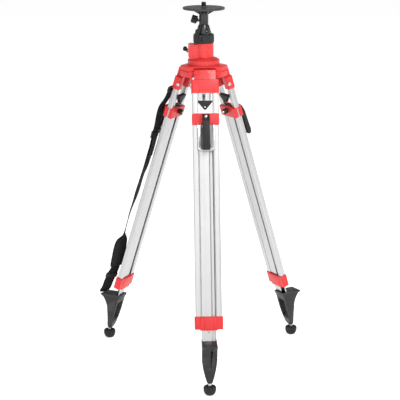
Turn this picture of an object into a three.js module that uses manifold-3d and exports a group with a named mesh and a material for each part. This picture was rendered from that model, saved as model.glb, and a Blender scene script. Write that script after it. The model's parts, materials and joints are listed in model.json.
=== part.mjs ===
// Elevating tripod: a three-legged stand with a crank-raised column and a threaded stud for an instrument.
// Millimetres, +Z up. The ground is z = 0 and the origin is the middle of the footprint's box.
// Each leg is drawn in its own frame: x across the leg, -y outwards, and -z down along the leg.

import * as THREE from 'three';
import { mergeVertices } from 'three/addons/utils/BufferGeometryUtils.js';
import Module from 'manifold-3d';

const wasm = await Module();
wasm.setup();

// ---------------------------------------------------------------- driving dimensions

const GAP = 0.3; // clearance between two pieces that touch
const STUD_TOP = 1180; // overall height with legs and column closed
const TILT = THREE.MathUtils.degToRad(18); // each leg from the vertical
const LEG_AZIMUTHS = { front: 0, right: 120, left: -120 }; // degrees round +Z from the front leg

const FOOT_R = 20; // rubber foot
const FOOT_REACH = 366; // column axis to the middle of a rubber foot

// leg frame: its origin is on the leg's middle plane, level with the head
const LEG_ORIGIN_R = 63.2;
const LEG_ORIGIN_Z = 960;
const HINGE_DOWN = -6;
const HINGE_OUT = -12;

// leg section
const LEG_W = 82;
const BAR_W = 46;
const RAIL_T = 17.5;
const RAIL_W = (LEG_W - BAR_W) / 2 - GAP;
const RAIL_X = (LEG_W - RAIL_W) / 2; // middle of a rail
const BAR_T = 14.5;

// stations down the leg
const CASTING_STEP = 19;
const CASTING_END = 62;
const STOP_TOP = 84;
const STOP_TIP = 112;
const CLAMP_TOP = 127;
const CLAMP_END = 163;
const BRACKET_TOP = 763;
const BRACKET_END = 804;
const BAR_END = 856;
const SHOE_TAPER = 901;
const SHOE_END = 974;
const TREAD_DOWN = 857; // lip of the shoe's tread
const TREAD_OUT = 60;

// the column axis, from the middle of the footprint's box
const TREAD_REACH = LEG_ORIGIN_R + TREAD_DOWN * Math.sin(TILT) + TREAD_OUT * Math.cos(TILT);
const FRONT_REACH = FOOT_REACH + FOOT_R;
const BACK_REACH = TREAD_REACH * Math.sin(Math.PI / 6) + (BAR_W / 2 + 0.5) * Math.cos(Math.PI / 6);
const AXIS_Y = (FRONT_REACH - BACK_REACH) / 2;

// head
const BASE_Z = 946;
const BASE_TOP = 982;
const FACET_R = 57; // column axis to a flat side of the head base
const FACET_HALF = 51;
const FLANGE_R = 51;
const FLANGE_TOP = 1003;
const HOUSING_R = 31.7;
const HOUSING_TOP = 1050;
const COLLAR_R = 32.5;
const COLLAR_TOP = 1079;
const COLUMN_R = 22.5;
const COLUMN_BORE = 18.5;
const COLUMN_END = 862;
const TUBE_TOP = 1083.5;
const COLUMN_RISE = 140; // travel of the crank-raised column
const GUIDE_R = 26.5; // bore of the castings that the column runs through

// column head
const CONE_TOP = 1109;
const POST_R = 15.4;
const GUSSET_Z = 1141;
const PLATE_Z = 1156.5;
const PLATE_TOP = 1163;
const PLATE_R = 67;
const STUD_R = 7.9; // 5/8 inch thread
const STUD_COLLAR_R = 10.5;
const STUD_SEAT = PLATE_TOP - 3; // the stud's collar stands in a counterbore of the plate
const KNOB_AXIS_Z = 1121;
const KNOB_RISE = THREE.MathUtils.degToRad(17);

// rack and pinion
const MODULE = 1.4;
const TEETH = 10;
const PITCH = Math.PI * MODULE;
const PINION_R = (MODULE * TEETH) / 2;
const RACK_X = -21; // pitch line of the rack
const SHAFT_X = RACK_X - PINION_R;
const SHAFT_Z = 1022;
const SHAFT_R = 4;
const BOSS_HALF = 25; // gearbox boss, front to back
const CRANK_Y = FLANGE_R + 3; // the crank turns behind the flange

// ---------------------------------------------------------------- materials

const FINISHES = {
  red: { color: 0xd8232a, roughness: 0.42, metalness: 0.1 },
  aluminium: { color: 0xd9dadc, roughness: 0.32, metalness: 0.9 },
  chrome: { color: 0xe6e8ea, roughness: 0.12, metalness: 1 },
  steel: { color: 0xa9abad, roughness: 0.3, metalness: 1 },
  black_metal: { color: 0x26272a, roughness: 0.5, metalness: 0.4 },
  black_plastic: { color: 0x1c1c1e, roughness: 0.55, metalness: 0 },
  rubber: { color: 0x242426, roughness: 0.8, metalness: 0 },
  webbing: { color: 0x151517, roughness: 0.9, metalness: 0 },
  bushing: { color: 0xe9e6da, roughness: 0.5, metalness: 0 },
};

// ---------------------------------------------------------------- shape helpers

function solidOf(geometry) {
  const bare = geometry.clone();
  bare.deleteAttribute('normal');
  bare.deleteAttribute('uv');
  const merged = mergeVertices(bare, 1e-4);
  return new wasm.Manifold(
    new wasm.Mesh({
      numProp: 3,
      vertProperties: new Float32Array(merged.attributes.position.array),
      triVerts: new Uint32Array(merged.index.array),
    })
  );
}

function geometryOf(solid) {
  const mesh = solid.getMesh();
  const geometry = new THREE.BufferGeometry();
  geometry.setAttribute('position', new THREE.BufferAttribute(mesh.vertProperties, 3));
  geometry.setIndex(new THREE.BufferAttribute(mesh.triVerts, 1));
  return geometry;
}

function join(first, ...others) {
  return geometryOf(others.reduce((sum, other) => sum.add(solidOf(other)), solidOf(first)));
}

function cut(first, ...others) {
  return geometryOf(others.reduce((rest, other) => rest.subtract(solidOf(other)), solidOf(first)));
}

function overlapOf(first, second) {
  return geometryOf(solidOf(first).intersect(solidOf(second)));
}

function block(x0, x1, y0, y1, z0, z1) {
  const box = new THREE.BoxGeometry(x1 - x0, y1 - y0, z1 - z0);
  return box.translate((x0 + x1) / 2, (y0 + y1) / 2, (z0 + z1) / 2);
}

// a round bar along Z, from z0 to z1
function bar(radius, z0, z1, sides = 16, topRadius = radius) {
  const cylinder = new THREE.CylinderGeometry(topRadius, radius, z1 - z0, sides);
  return cylinder.rotateX(Math.PI / 2).translate(0, 0, (z0 + z1) / 2);
}

// a round bar along X or Y
function barX(radius, x0, x1, y, z, sides = 14) {
  return bar(radius, x0, x1, sides).rotateY(Math.PI / 2).translate(0, y, z);
}

function barY(radius, y0, y1, x, z, sides = 14) {
  return bar(radius, -y1, -y0, sides).rotateX(Math.PI / 2).translate(x, 0, z);
}

// a solid of revolution about Z from [radius, z] points that run from its bottom to its top
function turned(profile, sides = 32) {
  const points = profile.map(([radius, z]) => new THREE.Vector2(radius, z));
  return new THREE.LatheGeometry(points, sides).rotateX(Math.PI / 2);
}

// a closed ring of revolution: up the outside and down the bore
function ring(outer, bore, z0, z1, sides = 32) {
  return turned([[bore, z0], [outer, z0], [outer, z1], [bore, z1], [bore, z0]], sides);
}

function polygon(points) {
  return new THREE.Shape(points.map(([x, y]) => new THREE.Vector2(x, y)));
}

// a rectangle with round corners, centred on x, y
function roundRect(width, height, radius, x = 0, y = 0, PathType = THREE.Shape) {
  const path = new PathType();
  const [w, h] = [width / 2 - radius, height / 2 - radius];
  path.absarc(x + w, y + h, radius, 0, Math.PI / 2);
  path.absarc(x - w, y + h, radius, Math.PI / 2, Math.PI);
  path.absarc(x - w, y - h, radius, Math.PI, 1.5 * Math.PI);
  path.absarc(x + w, y - h, radius, 1.5 * Math.PI, 2 * Math.PI);
  path.closePath();
  return path;
}

// a shape in the XY plane, pulled up from z0 to z1
function prism(shape, z0, z1, curveSegments = 2, bevel = 0) {
  const geometry = new THREE.ExtrudeGeometry(shape, {
    depth: z1 - z0 - 2 * bevel,
    curveSegments,
    bevelEnabled: bevel > 0,
    bevelThickness: bevel,
    bevelSize: bevel,
    bevelOffset: -bevel,
    bevelSegments: 1,
  });
  return geometry.translate(0, 0, z0 + bevel);
}

// a shape drawn as (x, z), pulled along Y from y0 to y1
function prismY(shape, y0, y1, curveSegments = 3, bevel = 0) {
  return prism(shape, -y1, -y0, curveSegments, bevel).rotateX(Math.PI / 2);
}

// a shape drawn as (y, z), pulled along X from x0 to x1
function prismX(shape, x0, x1, curveSegments = 3, bevel = 0) {
  const geometry = prism(shape, x0, x1, curveSegments, bevel);
  return geometry.rotateX(Math.PI / 2).rotateZ(Math.PI / 2);
}

const tripod = new THREE.Group();

function add(parent, name, finish, geometry) {
  const mesh = new THREE.Mesh(geometry, new THREE.MeshStandardMaterial(FINISHES[finish]));
  mesh.geometry.computeVertexNormals();
  mesh.name = name;
  parent.add(mesh);
  return mesh;
}

// ---------------------------------------------------------------- the head

// everything on the column axis
const head = new THREE.Group();
head.position.y = AXIS_Y;
tripod.add(head);

// the leg frame of one leg: everything in it is shared by the three legs
function legFrame(azimuth) {
  const turn = new THREE.Group();
  turn.position.y = AXIS_Y;
  turn.rotation.z = THREE.MathUtils.degToRad(azimuth);
  const frame = new THREE.Group();
  frame.position.set(0, -LEG_ORIGIN_R, LEG_ORIGIN_Z);
  frame.rotation.x = -TILT;
  turn.add(frame);
  tripod.add(turn);
  return frame;
}

// hinge pin of a leg, in the column's frame, for the front leg
const HINGE_R = LEG_ORIGIN_R + HINGE_DOWN * Math.sin(TILT) + HINGE_OUT * Math.cos(TILT);
const HINGE_Z = LEG_ORIGIN_Z - HINGE_DOWN * Math.cos(TILT) + HINGE_OUT * Math.sin(TILT);
const PIN_R = 5;
const TONGUE_W = 67;

// blunt triangle of the head base: a long flat for each leg and a short one between the legs
function baseOutline(inset) {
  const outline = [];
  for (const azimuth of Object.values(LEG_AZIMUTHS)) {
    const facing = THREE.MathUtils.degToRad(azimuth - 90);
    for (const side of [-1, 1]) {
      const along = side * (FACET_HALF - inset * 0.6);
      const out = FACET_R - inset;
      outline.push([
        out * Math.cos(facing) - along * Math.sin(facing),
        out * Math.sin(facing) + along * Math.cos(facing),
      ]);
    }
  }
  return polygon(outline);
}

function headBase() {
  const seam = 965.5;
  const body = join(
    prism(baseOutline(0), BASE_Z, seam, 1, 2),
    prism(baseOutline(2), seam - 1, seam + 2.2),
    prism(baseOutline(0), seam + 1.2, BASE_TOP, 1, 2)
  );
  const cuts = [bar(GUIDE_R, BASE_Z - 1, BASE_TOP + 1, 32)];
  for (const azimuth of Object.values(LEG_AZIMUTHS)) {
    const turn = THREE.MathUtils.degToRad(azimuth);
    const notch = block(-TONGUE_W / 2 - 1, TONGUE_W / 2 + 1, -FACET_R - 9, -31, BASE_Z - 1, 976.5);
    const bore = barX(PIN_R + GAP, -FACET_HALF + 3, FACET_HALF - 3, -HINGE_R, HINGE_Z);
    cuts.push(notch.rotateZ(turn), bore.rotateZ(turn));
  }
  return cut(body, ...cuts);
}

// flange, round tower and gearbox boss, cast in one
function columnHousing() {
  const tower = turned([
    [0, BASE_TOP + GAP], [FLANGE_R, BASE_TOP + GAP], [FLANGE_R, FLANGE_TOP - 6], [FLANGE_R - 9, FLANGE_TOP],
    [HOUSING_R + 3, FLANGE_TOP + 1], [HOUSING_R, FLANGE_TOP + 4], [HOUSING_R, HOUSING_TOP], [0, HOUSING_TOP],
  ]);
  const boss = prismY(roundRect(34, 46, 4, -31.5, 1024), -BOSS_HALF, BOSS_HALF, 3, 1);
  const cavity = barY(PINION_R + 4, -7, BOSS_HALF + 1, SHAFT_X, SHAFT_Z, 28);
  const bearing = barY(SHAFT_R + GAP, -BOSS_HALF + 5, 0, SHAFT_X, SHAFT_Z);
  const bushSeat = bar(GUIDE_R, HOUSING_TOP - 12, HOUSING_TOP + 1, 32);
  const bore = bar(COLUMN_R + 1, BASE_TOP - 1, HOUSING_TOP + 1, 32);
  return cut(join(tower, boss), bore, bushSeat, cavity, bearing);
}

// plate that closes the gearbox at the back and carries the crank shaft
function gearboxCover() {
  const plate = prismY(roundRect(26, 34, 4, -34, 1025), BOSS_HALF + GAP, BOSS_HALF + 4, 2, 0.8);
  const hub = barY(8, BOSS_HALF + 3, CRANK_Y - 1, SHAFT_X, SHAFT_Z);
  const bore = barY(SHAFT_R + GAP, BOSS_HALF - 1, CRANK_Y, SHAFT_X, SHAFT_Z);
  return cut(join(plate, hub), bore);
}

// plastic guide that the column slides in
function columnBush() {
  return ring(GUIDE_R - GAP, COLUMN_R + GAP, HOUSING_TOP - 12 + GAP, HOUSING_TOP);
}

// the clamp ring's lever stands at its front left, turned round the column by this much
const LEVER_TURN = THREE.MathUtils.degToRad(-36);
const LEVER_PIN_X = 11;
const LEVER_Y = -36.5;

function collarRing() {
  const body = turned([
    [0, HOUSING_TOP + GAP], [COLLAR_R - 1.5, HOUSING_TOP + GAP], [COLLAR_R, HOUSING_TOP + 2],
    [COLLAR_R, COLLAR_TOP - 2], [COLLAR_R - 1.5, COLLAR_TOP], [0, COLLAR_TOP],
  ]);
  const lug = (z0, z1) => prism(roundRect(9, 12, 2, LEVER_PIN_X, LEVER_Y + 3), z0, z1).rotateZ(LEVER_TURN);
  const pinBore = bar(1.5 + GAP, HOUSING_TOP, COLLAR_TOP + 1, 12).translate(LEVER_PIN_X, LEVER_Y, 0);
  const split = block(-1.5, 1.5, -COLLAR_R - 8, 0, HOUSING_TOP, COLLAR_TOP + 1);
  return cut(
    join(body, lug(HOUSING_TOP + 2, HOUSING_TOP + 8), lug(COLLAR_TOP - 6, COLLAR_TOP)),
    bar(COLUMN_R + GAP, HOUSING_TOP, COLLAR_TOP + 1, 32),
    pinBore.rotateZ(LEVER_TURN),
    split.rotateZ(LEVER_TURN)
  );
}

// over-centre lever of the clamp ring, with its hinge barrel and pin
function collarLever() {
  const blade = new THREE.Shape();
  blade.moveTo(-9.5, 1054);
  blade.lineTo(6, 1054);
  blade.lineTo(6, 1080);
  blade.lineTo(1.5, 1093);
  blade.absarc(-2.5, 1093, 4, 0, Math.PI, false);
  blade.lineTo(-9.5, 1078);
  blade.closePath();
  const barrel = bar(3.4, HOUSING_TOP + 8 + GAP, COLLAR_TOP - 6 - GAP, 16).translate(LEVER_PIN_X, LEVER_Y, 0);
  const web = block(4, LEVER_PIN_X, LEVER_Y - 2.5, LEVER_Y + 2.5, HOUSING_TOP + 9, COLLAR_TOP - 7);
  const pin = bar(1.5, HOUSING_TOP + 2.5, COLLAR_TOP - 0.5, 12).translate(LEVER_PIN_X, LEVER_Y, 0);
  return join(prismY(blade, LEVER_Y - 2.5, LEVER_Y + 2.5, 5, 0.8), barrel, web, pin).rotateZ(LEVER_TURN);
}

add(head, 'head_base', 'red', headBase());
add(head, 'column_housing', 'red', columnHousing());
add(head, 'gearbox_cover', 'red', gearboxCover());
add(head, 'column_bush', 'bushing', columnBush());
add(head, 'collar_ring', 'black_metal', collarRing());
add(head, 'collar_lever', 'black_plastic', collarLever());

// ---------------------------------------------------------------- the column

// aluminium tube with a rack cut along its left side
function columnTube() {
  const tube = ring(COLUMN_R, COLUMN_BORE, COLUMN_END, TUBE_TOP);
  const gaps = [];
  const lowest = -Math.ceil(COLUMN_RISE / PITCH) - 2;
  for (let i = lowest; i <= 2; i++) {
    gaps.push(rackGap(SHAFT_Z + i * PITCH));
  }
  return cut(tube, ...gaps);
}

// the space between two rack teeth, widest at the tooth tips
function rackGap(z) {
  const tip = RACK_X - 2;
  const root = RACK_X + 1.7;
  const shape = polygon([[tip, z - 2.0], [root, z - 0.85], [root, z + 0.85], [tip, z + 2.0]]);
  return prismY(shape, -5, 5);
}

// cast head: spigot in the tube, cone, round neck, and a flare under the plate
function columnHead() {
  const body = turned([
    [0, COLLAR_TOP + GAP], [24.2, COLLAR_TOP + GAP], [24.5, COLLAR_TOP + 2], [POST_R + 1.2, CONE_TOP - 1],
    [POST_R - 1, CONE_TOP], [POST_R - 1, CONE_TOP + 1.5], [POST_R, CONE_TOP + 2.5], [POST_R, GUSSET_Z],
    [36, PLATE_Z - 3], [40, PLATE_Z], [0, PLATE_Z],
  ]);
  const socket = bar(COLUMN_R + GAP, COLLAR_TOP - 1, TUBE_TOP + GAP, 32);
  const spigot = bar(COLUMN_BORE - GAP, TUBE_TOP - 24, TUBE_TOP + 1, 32);
  const studHole = bar(STUD_R - 1.5 + GAP, PLATE_Z - 14, PLATE_Z + 1, 20);
  return cut(join(cut(body, socket), spigot), screwSeat(3.5), studHole);
}

// the knob's own axis: out of the neck to the left and upwards
function onKnobAxis(geometry) {
  return geometry.rotateY(-Math.PI / 2 + KNOB_RISE).translate(-POST_R, 0, KNOB_AXIS_Z);
}

function screwSeat(radius) {
  return onKnobAxis(bar(radius, -8, 6, 16));
}

function lockKnob() {
  const grip = new THREE.Shape();
  const lobes = 8;
  for (let i = 0; i < lobes * 3; i++) {
    const angle = (i * 2 * Math.PI) / (lobes * 3);
    const radius = 12.2 + 0.5 * Math.cos(lobes * angle);
    const point = [radius * Math.cos(angle), radius * Math.sin(angle)];
    if (i === 0) grip.moveTo(...point);
    else grip.lineTo(...point);
  }
  grip.closePath();
  return onKnobAxis(join(prism(grip, 6, 24, 1, 1), bar(6, 3, 7), bar(3.2, -7, 4, 16)));
}

// round plate that the instrument sits on
function headPlate() {
  const plate = turned([
    [0, PLATE_Z + GAP], [PLATE_R - 1.5, PLATE_Z + GAP], [PLATE_R, PLATE_Z + 2], [PLATE_R, PLATE_TOP - 1.2],
    [PLATE_R - 1.2, PLATE_TOP], [0, PLATE_TOP],
  ], 40);
  const shankHole = bar(STUD_R - 1.5 + GAP, PLATE_Z - 1, PLATE_TOP + 1, 20);
  return cut(plate, shankHole, bar(STUD_COLLAR_R + GAP, STUD_SEAT, PLATE_TOP + 1, 20));
}

// steel stud: shank down through the plate, collar at its foot, and the threaded end above
function mountingStud() {
  const steps = [[0, PLATE_Z - 13], [STUD_R - 1.5, PLATE_Z - 13], [STUD_R - 1.5, STUD_SEAT + GAP]];
  steps.push([STUD_COLLAR_R, STUD_SEAT + GAP], [STUD_COLLAR_R - 0.4, PLATE_TOP + 2.6], [STUD_R - 1, PLATE_TOP + 3]);
  steps.push([STUD_R - 1, PLATE_TOP + 4.5], [STUD_R, PLATE_TOP + 5.5]);
  steps.push([STUD_R, STUD_TOP - 1.5], [STUD_R - 1.5, STUD_TOP], [0, STUD_TOP]);
  return turned(steps, 20);
}

function columnEndCap() {
  const rim = [[0, COLUMN_END - 4], [COLUMN_R - 1, COLUMN_END - 4], [COLUMN_R, COLUMN_END - 3]];
  const plug = [[COLUMN_R, COLUMN_END - GAP], [COLUMN_BORE - GAP, COLUMN_END - GAP], [COLUMN_BORE - GAP, COLUMN_END + 12]];
  return turned([...rim, ...plug, [0, COLUMN_END + 12]]);
}

add(head, 'column_tube', 'aluminium', columnTube());
add(head, 'column_head', 'black_metal', columnHead());
add(head, 'head_plate', 'black_metal', headPlate());
add(head, 'mounting_stud', 'steel', mountingStud());
add(head, 'lock_knob', 'black_plastic', lockKnob());
add(head, 'column_end_cap', 'black_plastic', columnEndCap());

// ---------------------------------------------------------------- crank and pinion

function pinionShaft() {
  const gear = new THREE.Shape();
  const corners = [[-0.27, -1.75], [-0.1, 1.3], [0.1, 1.3], [0.27, -1.75]];
  for (let tooth = 0; tooth < TEETH; tooth++) {
    // a tooth points at the rack when the column is down
    const middle = (tooth * 2 * Math.PI) / TEETH;
    for (const [part, height] of corners) {
      const angle = middle + (part * 2 * Math.PI) / TEETH;
      const point = [(PINION_R + height) * Math.cos(angle), (PINION_R + height) * Math.sin(angle)];
      if (tooth === 0 && part === corners[0][0]) gear.moveTo(...point);
      else gear.lineTo(...point);
    }
  }
  gear.closePath();
  const pinion = prismY(gear, -4.5, 4.5).translate(SHAFT_X, 0, SHAFT_Z);
  return join(pinion, barY(SHAFT_R, -BOSS_HALF + 6, CRANK_Y + 7, SHAFT_X, SHAFT_Z));
}

const GRIP_X = -56;
const GRIP_Z = SHAFT_Z;

// bent arm: hub on the shaft, a dip, and an eye for the grip
function crankArm() {
  const route = new THREE.CatmullRomCurve3([
    new THREE.Vector3(SHAFT_X, CRANK_Y + 2.5, SHAFT_Z),
    new THREE.Vector3(-40, CRANK_Y + 2.5, SHAFT_Z - 8),
    new THREE.Vector3(-50, CRANK_Y + 2.5, SHAFT_Z - 7),
    new THREE.Vector3(GRIP_X, CRANK_Y + 2.5, GRIP_Z),
  ]);
  const section = roundRect(4.4, 7, 1.5);
  const arm = new THREE.ExtrudeGeometry(section, { steps: 8, curveSegments: 1, extrudePath: route });
  const hub = barY(8, CRANK_Y, CRANK_Y + 6, SHAFT_X, SHAFT_Z);
  const eye = barY(5, CRANK_Y, CRANK_Y + 5, GRIP_X, GRIP_Z);
  const pin = barY(2, CRANK_Y + 4, CRANK_Y + 26, GRIP_X, GRIP_Z, 12);
  return cut(join(hub, arm, eye, pin), barY(SHAFT_R + GAP, CRANK_Y - 1, CRANK_Y + 7.5, SHAFT_X, SHAFT_Z));
}

function crankGrip() {
  const y0 = CRANK_Y + 5 + GAP;
  const profile = [[2 + GAP, 0], [5.5, 0], [7, 3], [6, 9], [7, 17], [5.5, 21], [2 + GAP, 21], [2 + GAP, 0]];
  return turned(profile, 20).rotateX(-Math.PI / 2).translate(GRIP_X, y0, GRIP_Z);
}

add(head, 'pinion_shaft', 'steel', pinionShaft());
add(head, 'crank_arm', 'chrome', crankArm());
add(head, 'crank_grip', 'black_plastic', crankGrip());

// ---------------------------------------------------------------- the legs

// red casting: a tongue that hinges in the head, and a socket for each rail
function legCasting() {
  const sleeve = prism(roundRect(LEG_W + 5, 25, 4, 0, 0), -CASTING_END, -CASTING_STEP, 2, 1.2);
  const tongueSide = new THREE.Shape();
  tongueSide.moveTo(-11, -CASTING_STEP - 4);
  tongueSide.lineTo(-11, 9);
  tongueSide.quadraticCurveTo(-10, 13, -6, 13);
  tongueSide.lineTo(14, 13.5);
  tongueSide.absarc(-HINGE_OUT, -HINGE_DOWN, 8.5, Math.PI / 3, -Math.PI / 3, true);
  tongueSide.lineTo(11, -CASTING_STEP - 4);
  tongueSide.closePath();
  const tongue = prismX(tongueSide, -TONGUE_W / 2, TONGUE_W / 2, 4);
  const sockets = [-1, 1].map((side) =>
    prism(roundRect(RAIL_W + 2 * GAP, RAIL_T + 2 * GAP, 2.5, side * RAIL_X, 0), -CASTING_END - 1, -CASTING_STEP - 5)
  );
  const middle = block(-BAR_W / 2 + 3, BAR_W / 2 - 3, -9, 20, -CASTING_END - 1, -CASTING_STEP + 12);
  const bore = barX(PIN_R + GAP, -LEG_W, LEG_W, -HINGE_OUT, -HINGE_DOWN);
  return cut(join(sleeve, tongue), ...sockets, middle, bore);
}

function hingePin() {
  return barX(PIN_R, -FACET_HALF + 3.5, FACET_HALF - 3.5, -HINGE_OUT, -HINGE_DOWN);
}

// hollow rail with a shallow groove down its outer face
function rail(side) {
  const outline = roundRect(RAIL_W, RAIL_T, 2.2, side * RAIL_X, 0);
  outline.holes.push(roundRect(RAIL_W - 4, RAIL_T - 4, 1, side * RAIL_X, 0, THREE.Path));
  return prism(outline, -BRACKET_END + 4, -CASTING_STEP - 5 - GAP);
}

// black wedge that closes the gap between the rails and stops the clamp below the casting
function railStop() {
  const half = BAR_W / 2 - GAP;
  const face = polygon([[-half, -STOP_TOP], [-half, -STOP_TOP - 4], [-3, -STOP_TIP], [3, -STOP_TIP],
    [half, -STOP_TOP - 4], [half, -STOP_TOP]]);
  const eye = new THREE.Path();
  eye.absarc(0, -STOP_TIP + 8, 3, 0, 2 * Math.PI);
  face.holes.push(eye);
  return prismY(face, 4, 16, 5, 0);
}

const LEVER_DOWN = 139;
const LEVER_OUT = 25;
const BOLT_R = 4;

// outer jaw of the leg clamp, with two ears for the lever's pin
function clampOuter() {
  const jaw = prismY(roundRect(LEG_W + 3, CLAMP_END - CLAMP_TOP, 4, 0, -(CLAMP_TOP + CLAMP_END) / 2), -15, 0, 2, 1.5);
  const earSide = polygon([[-14, -CLAMP_TOP - 3], [-LEVER_OUT - 5, -LEVER_DOWN + 4], [-LEVER_OUT - 5, -LEVER_DOWN - 4],
    [-14, -CLAMP_END + 5]]);
  const ears = [-1, 1].map((side) => prismX(earSide, side * 13 - 1.7, side * 13 + 1.7));
  const slides = [-1, 1].map((side) =>
    prism(roundRect(RAIL_W + 2 * GAP, RAIL_T + 2 * GAP, 2.4, side * RAIL_X, 0), -CLAMP_END - 1, -CLAMP_TOP + 1)
  );
  const trim = block(-LEG_W, LEG_W, -2, 20, -CLAMP_END - 1, -CLAMP_TOP + 1);
  const slot = block(-11 - GAP, 11 + GAP, -40, -9, -CLAMP_END - 1, -CLAMP_TOP - 3);
  const middle = block(-BAR_W / 2 - GAP, BAR_W / 2 + GAP, -8, 1, -CLAMP_END - 1, -CLAMP_TOP + 1);
  const bores = [barY(BOLT_R + GAP, -40, 1, 0, -LEVER_DOWN), barX(2 + GAP, -40, 40, -LEVER_OUT, -LEVER_DOWN, 14)];
  return cut(join(jaw, ...ears), ...slides, trim, slot, middle, ...bores);
}

function clampInner() {
  const jaw = prismY(roundRect(LEG_W + 3, CLAMP_END - CLAMP_TOP, 4, 0, -(CLAMP_TOP + CLAMP_END) / 2), 0, 15.5, 2, 1.5);
  const slides = [-1, 1].map((side) =>
    prism(roundRect(RAIL_W + 2 * GAP, RAIL_T + 2 * GAP, 2.4, side * RAIL_X, 0), -CLAMP_END - 1, -CLAMP_TOP + 1)
  );
  const trim = block(-LEG_W, LEG_W, -1, 3.5, -CLAMP_END - 1, -CLAMP_TOP + 1);
  const middle = block(-BAR_W / 2 - GAP, BAR_W / 2 + GAP, -1, 8, -CLAMP_END - 1, -CLAMP_TOP + 1);
  return cut(jaw, ...slides, trim, middle, barY(BOLT_R + GAP, -1, 17, 0, -LEVER_DOWN));
}

// bolt through both jaws and the bar: an eye for the lever's pin outside, a thread inside
function clampBolt() {
  const eye = barX(6.5, -4, 4, -LEVER_OUT, -LEVER_DOWN);
  const shank = barY(BOLT_R, -LEVER_OUT + 4, 33, 0, -LEVER_DOWN);
  const pin = barX(2, -14.6, 14.6, -LEVER_OUT, -LEVER_DOWN, 10);
  return join(eye, shank, pin);
}

function clampNut() {
  const outline = new THREE.Shape();
  for (let i = 0; i < 18; i++) {
    const angle = (i * 2 * Math.PI) / 18;
    const radius = 8.6 + 0.5 * Math.cos(6 * angle);
    const point = [radius * Math.cos(angle), -LEVER_DOWN + radius * Math.sin(angle)];
    if (i === 0) outline.moveTo(...point);
    else outline.lineTo(...point);
  }
  outline.closePath();
  return cut(prismY(outline, 17, 30), barY(BOLT_R + GAP, 16, 31, 0, -LEVER_DOWN));
}

// channel lever: cam cheeks round the bolt's eye, and a long hollow grip
function clampLever() {
  const side = new THREE.Shape();
  side.moveTo(-18.5, -LEVER_DOWN - 6);
  side.absarc(-LEVER_OUT, -LEVER_DOWN, 8, -Math.PI / 4, Math.PI / 2, false);
  side.quadraticCurveTo(-38, -LEVER_DOWN + 3, -43, -LEVER_DOWN - 24);
  side.lineTo(-47, -LEVER_DOWN - 88);
  side.lineTo(-43, -LEVER_DOWN - 104);
  side.lineTo(-33, -LEVER_DOWN - 104);
  side.lineTo(-30, -LEVER_DOWN - 30);
  side.closePath();
  const body = prismX(side, -11, 11, 4, 1);
  const hollow = block(-8, 8, -40, -10, -LEVER_DOWN - 98, -LEVER_DOWN - 10);
  const eyeSlot = block(-4 - GAP, 4 + GAP, -33, -10, -LEVER_DOWN - 12, -LEVER_DOWN + 12);
  return cut(body, hollow, eyeSlot, barX(2 + GAP, -20, 20, -LEVER_OUT, -LEVER_DOWN, 14));
}

// bar that slides between the rails, bored for the clamp's bolt
function lowerBar() {
  const outline = roundRect(BAR_W - GAP, BAR_T, 2, 0, 0);
  outline.holes.push(roundRect(BAR_W - 5, BAR_T - 4.4, 1, 0, 0, THREE.Path));
  const length = prism(outline, -BAR_END, -CLAMP_TOP - 1);
  return cut(length, barY(BOLT_R + GAP, -20, 20, 0, -LEVER_DOWN));
}

// red bracket that ties the rails at the bottom and guides the bar
function bottomBracket() {
  const body = join(
    prism(roundRect(LEG_W + 7, 23, 4), -BRACKET_END, -BRACKET_TOP, 2, 1.2),
    prism(roundRect(BAR_W + 8, 26, 3), -BRACKET_END - 3, -BRACKET_TOP - 3)
  );
  const sockets = [-1, 1].map((side) =>
    prism(roundRect(RAIL_W + 2 * GAP, RAIL_T + 2 * GAP, 2.4, side * RAIL_X, 0), -BRACKET_END + 4 - GAP, -BRACKET_TOP + 1)
  );
  const guide = block(-BAR_W / 2 - GAP, BAR_W / 2 + GAP, -BAR_T / 2 - GAP, BAR_T / 2 + GAP, -BRACKET_END - 4, -BRACKET_TOP + 1);
  return cut(body, ...sockets, guide);
}

// the shoe's steel point and its rubber foot stand upright, so they are turned back by the leg's tilt
function uprightUnderShoe(geometry) {
  geometry.translate(0, LEG_ORIGIN_R - FOOT_REACH, -LEG_ORIGIN_Z);
  return geometry.rotateX(TILT);
}

function footPoint() {
  return uprightUnderShoe(turned([[0, 14], [4, 14], [5, 18], [5, 38], [0, 38]], 12));
}

// cast shoe: a level tread for a boot, and a web that narrows to the point
function legShoe() {
  const side = new THREE.Shape();
  side.moveTo(12.5, -833);
  side.lineTo(-TREAD_OUT, -TREAD_DOWN);
  side.lineTo(-TREAD_OUT, -TREAD_DOWN - 4);
  side.lineTo(-50, -862.5);
  side.quadraticCurveTo(-30, -876, -22, -896);
  side.quadraticCurveTo(-11, -930, -9, -955);
  side.quadraticCurveTo(-8, -972, 0, -SHOE_END);
  side.quadraticCurveTo(9, -972, 9.5, -940);
  side.lineTo(9.5, -846);
  side.lineTo(12.5, -843);
  side.closePath();
  const face = new THREE.Shape();
  const half = BAR_W / 2;
  face.moveTo(-half - 0.5, -820);
  face.lineTo(-half - 0.5, -SHOE_TAPER);
  face.quadraticCurveTo(-half + 4, -SHOE_TAPER - 40, -8, -SHOE_END + 4);
  face.quadraticCurveTo(0, -SHOE_END - 5, 8, -SHOE_END + 4);
  face.quadraticCurveTo(half - 4, -SHOE_TAPER - 40, half + 0.5, -SHOE_TAPER);
  face.lineTo(half + 0.5, -820);
  face.closePath();
  const body = overlapOf(prismX(side, -30, 30, 6), prismY(face, -70, 30, 6));
  const socket = block(-half - 0.1, half + 0.1, -BAR_T / 2 - GAP, BAR_T / 2 + GAP, -BAR_END - GAP, -820);
  const backSide = polygon([[20, -864], [-4, -864], [-3, -925], [20, -948]]);
  const back = prismX(backSide, -half + 5, half - 5);
  return join(cut(body, socket, back), footPoint());
}

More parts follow.
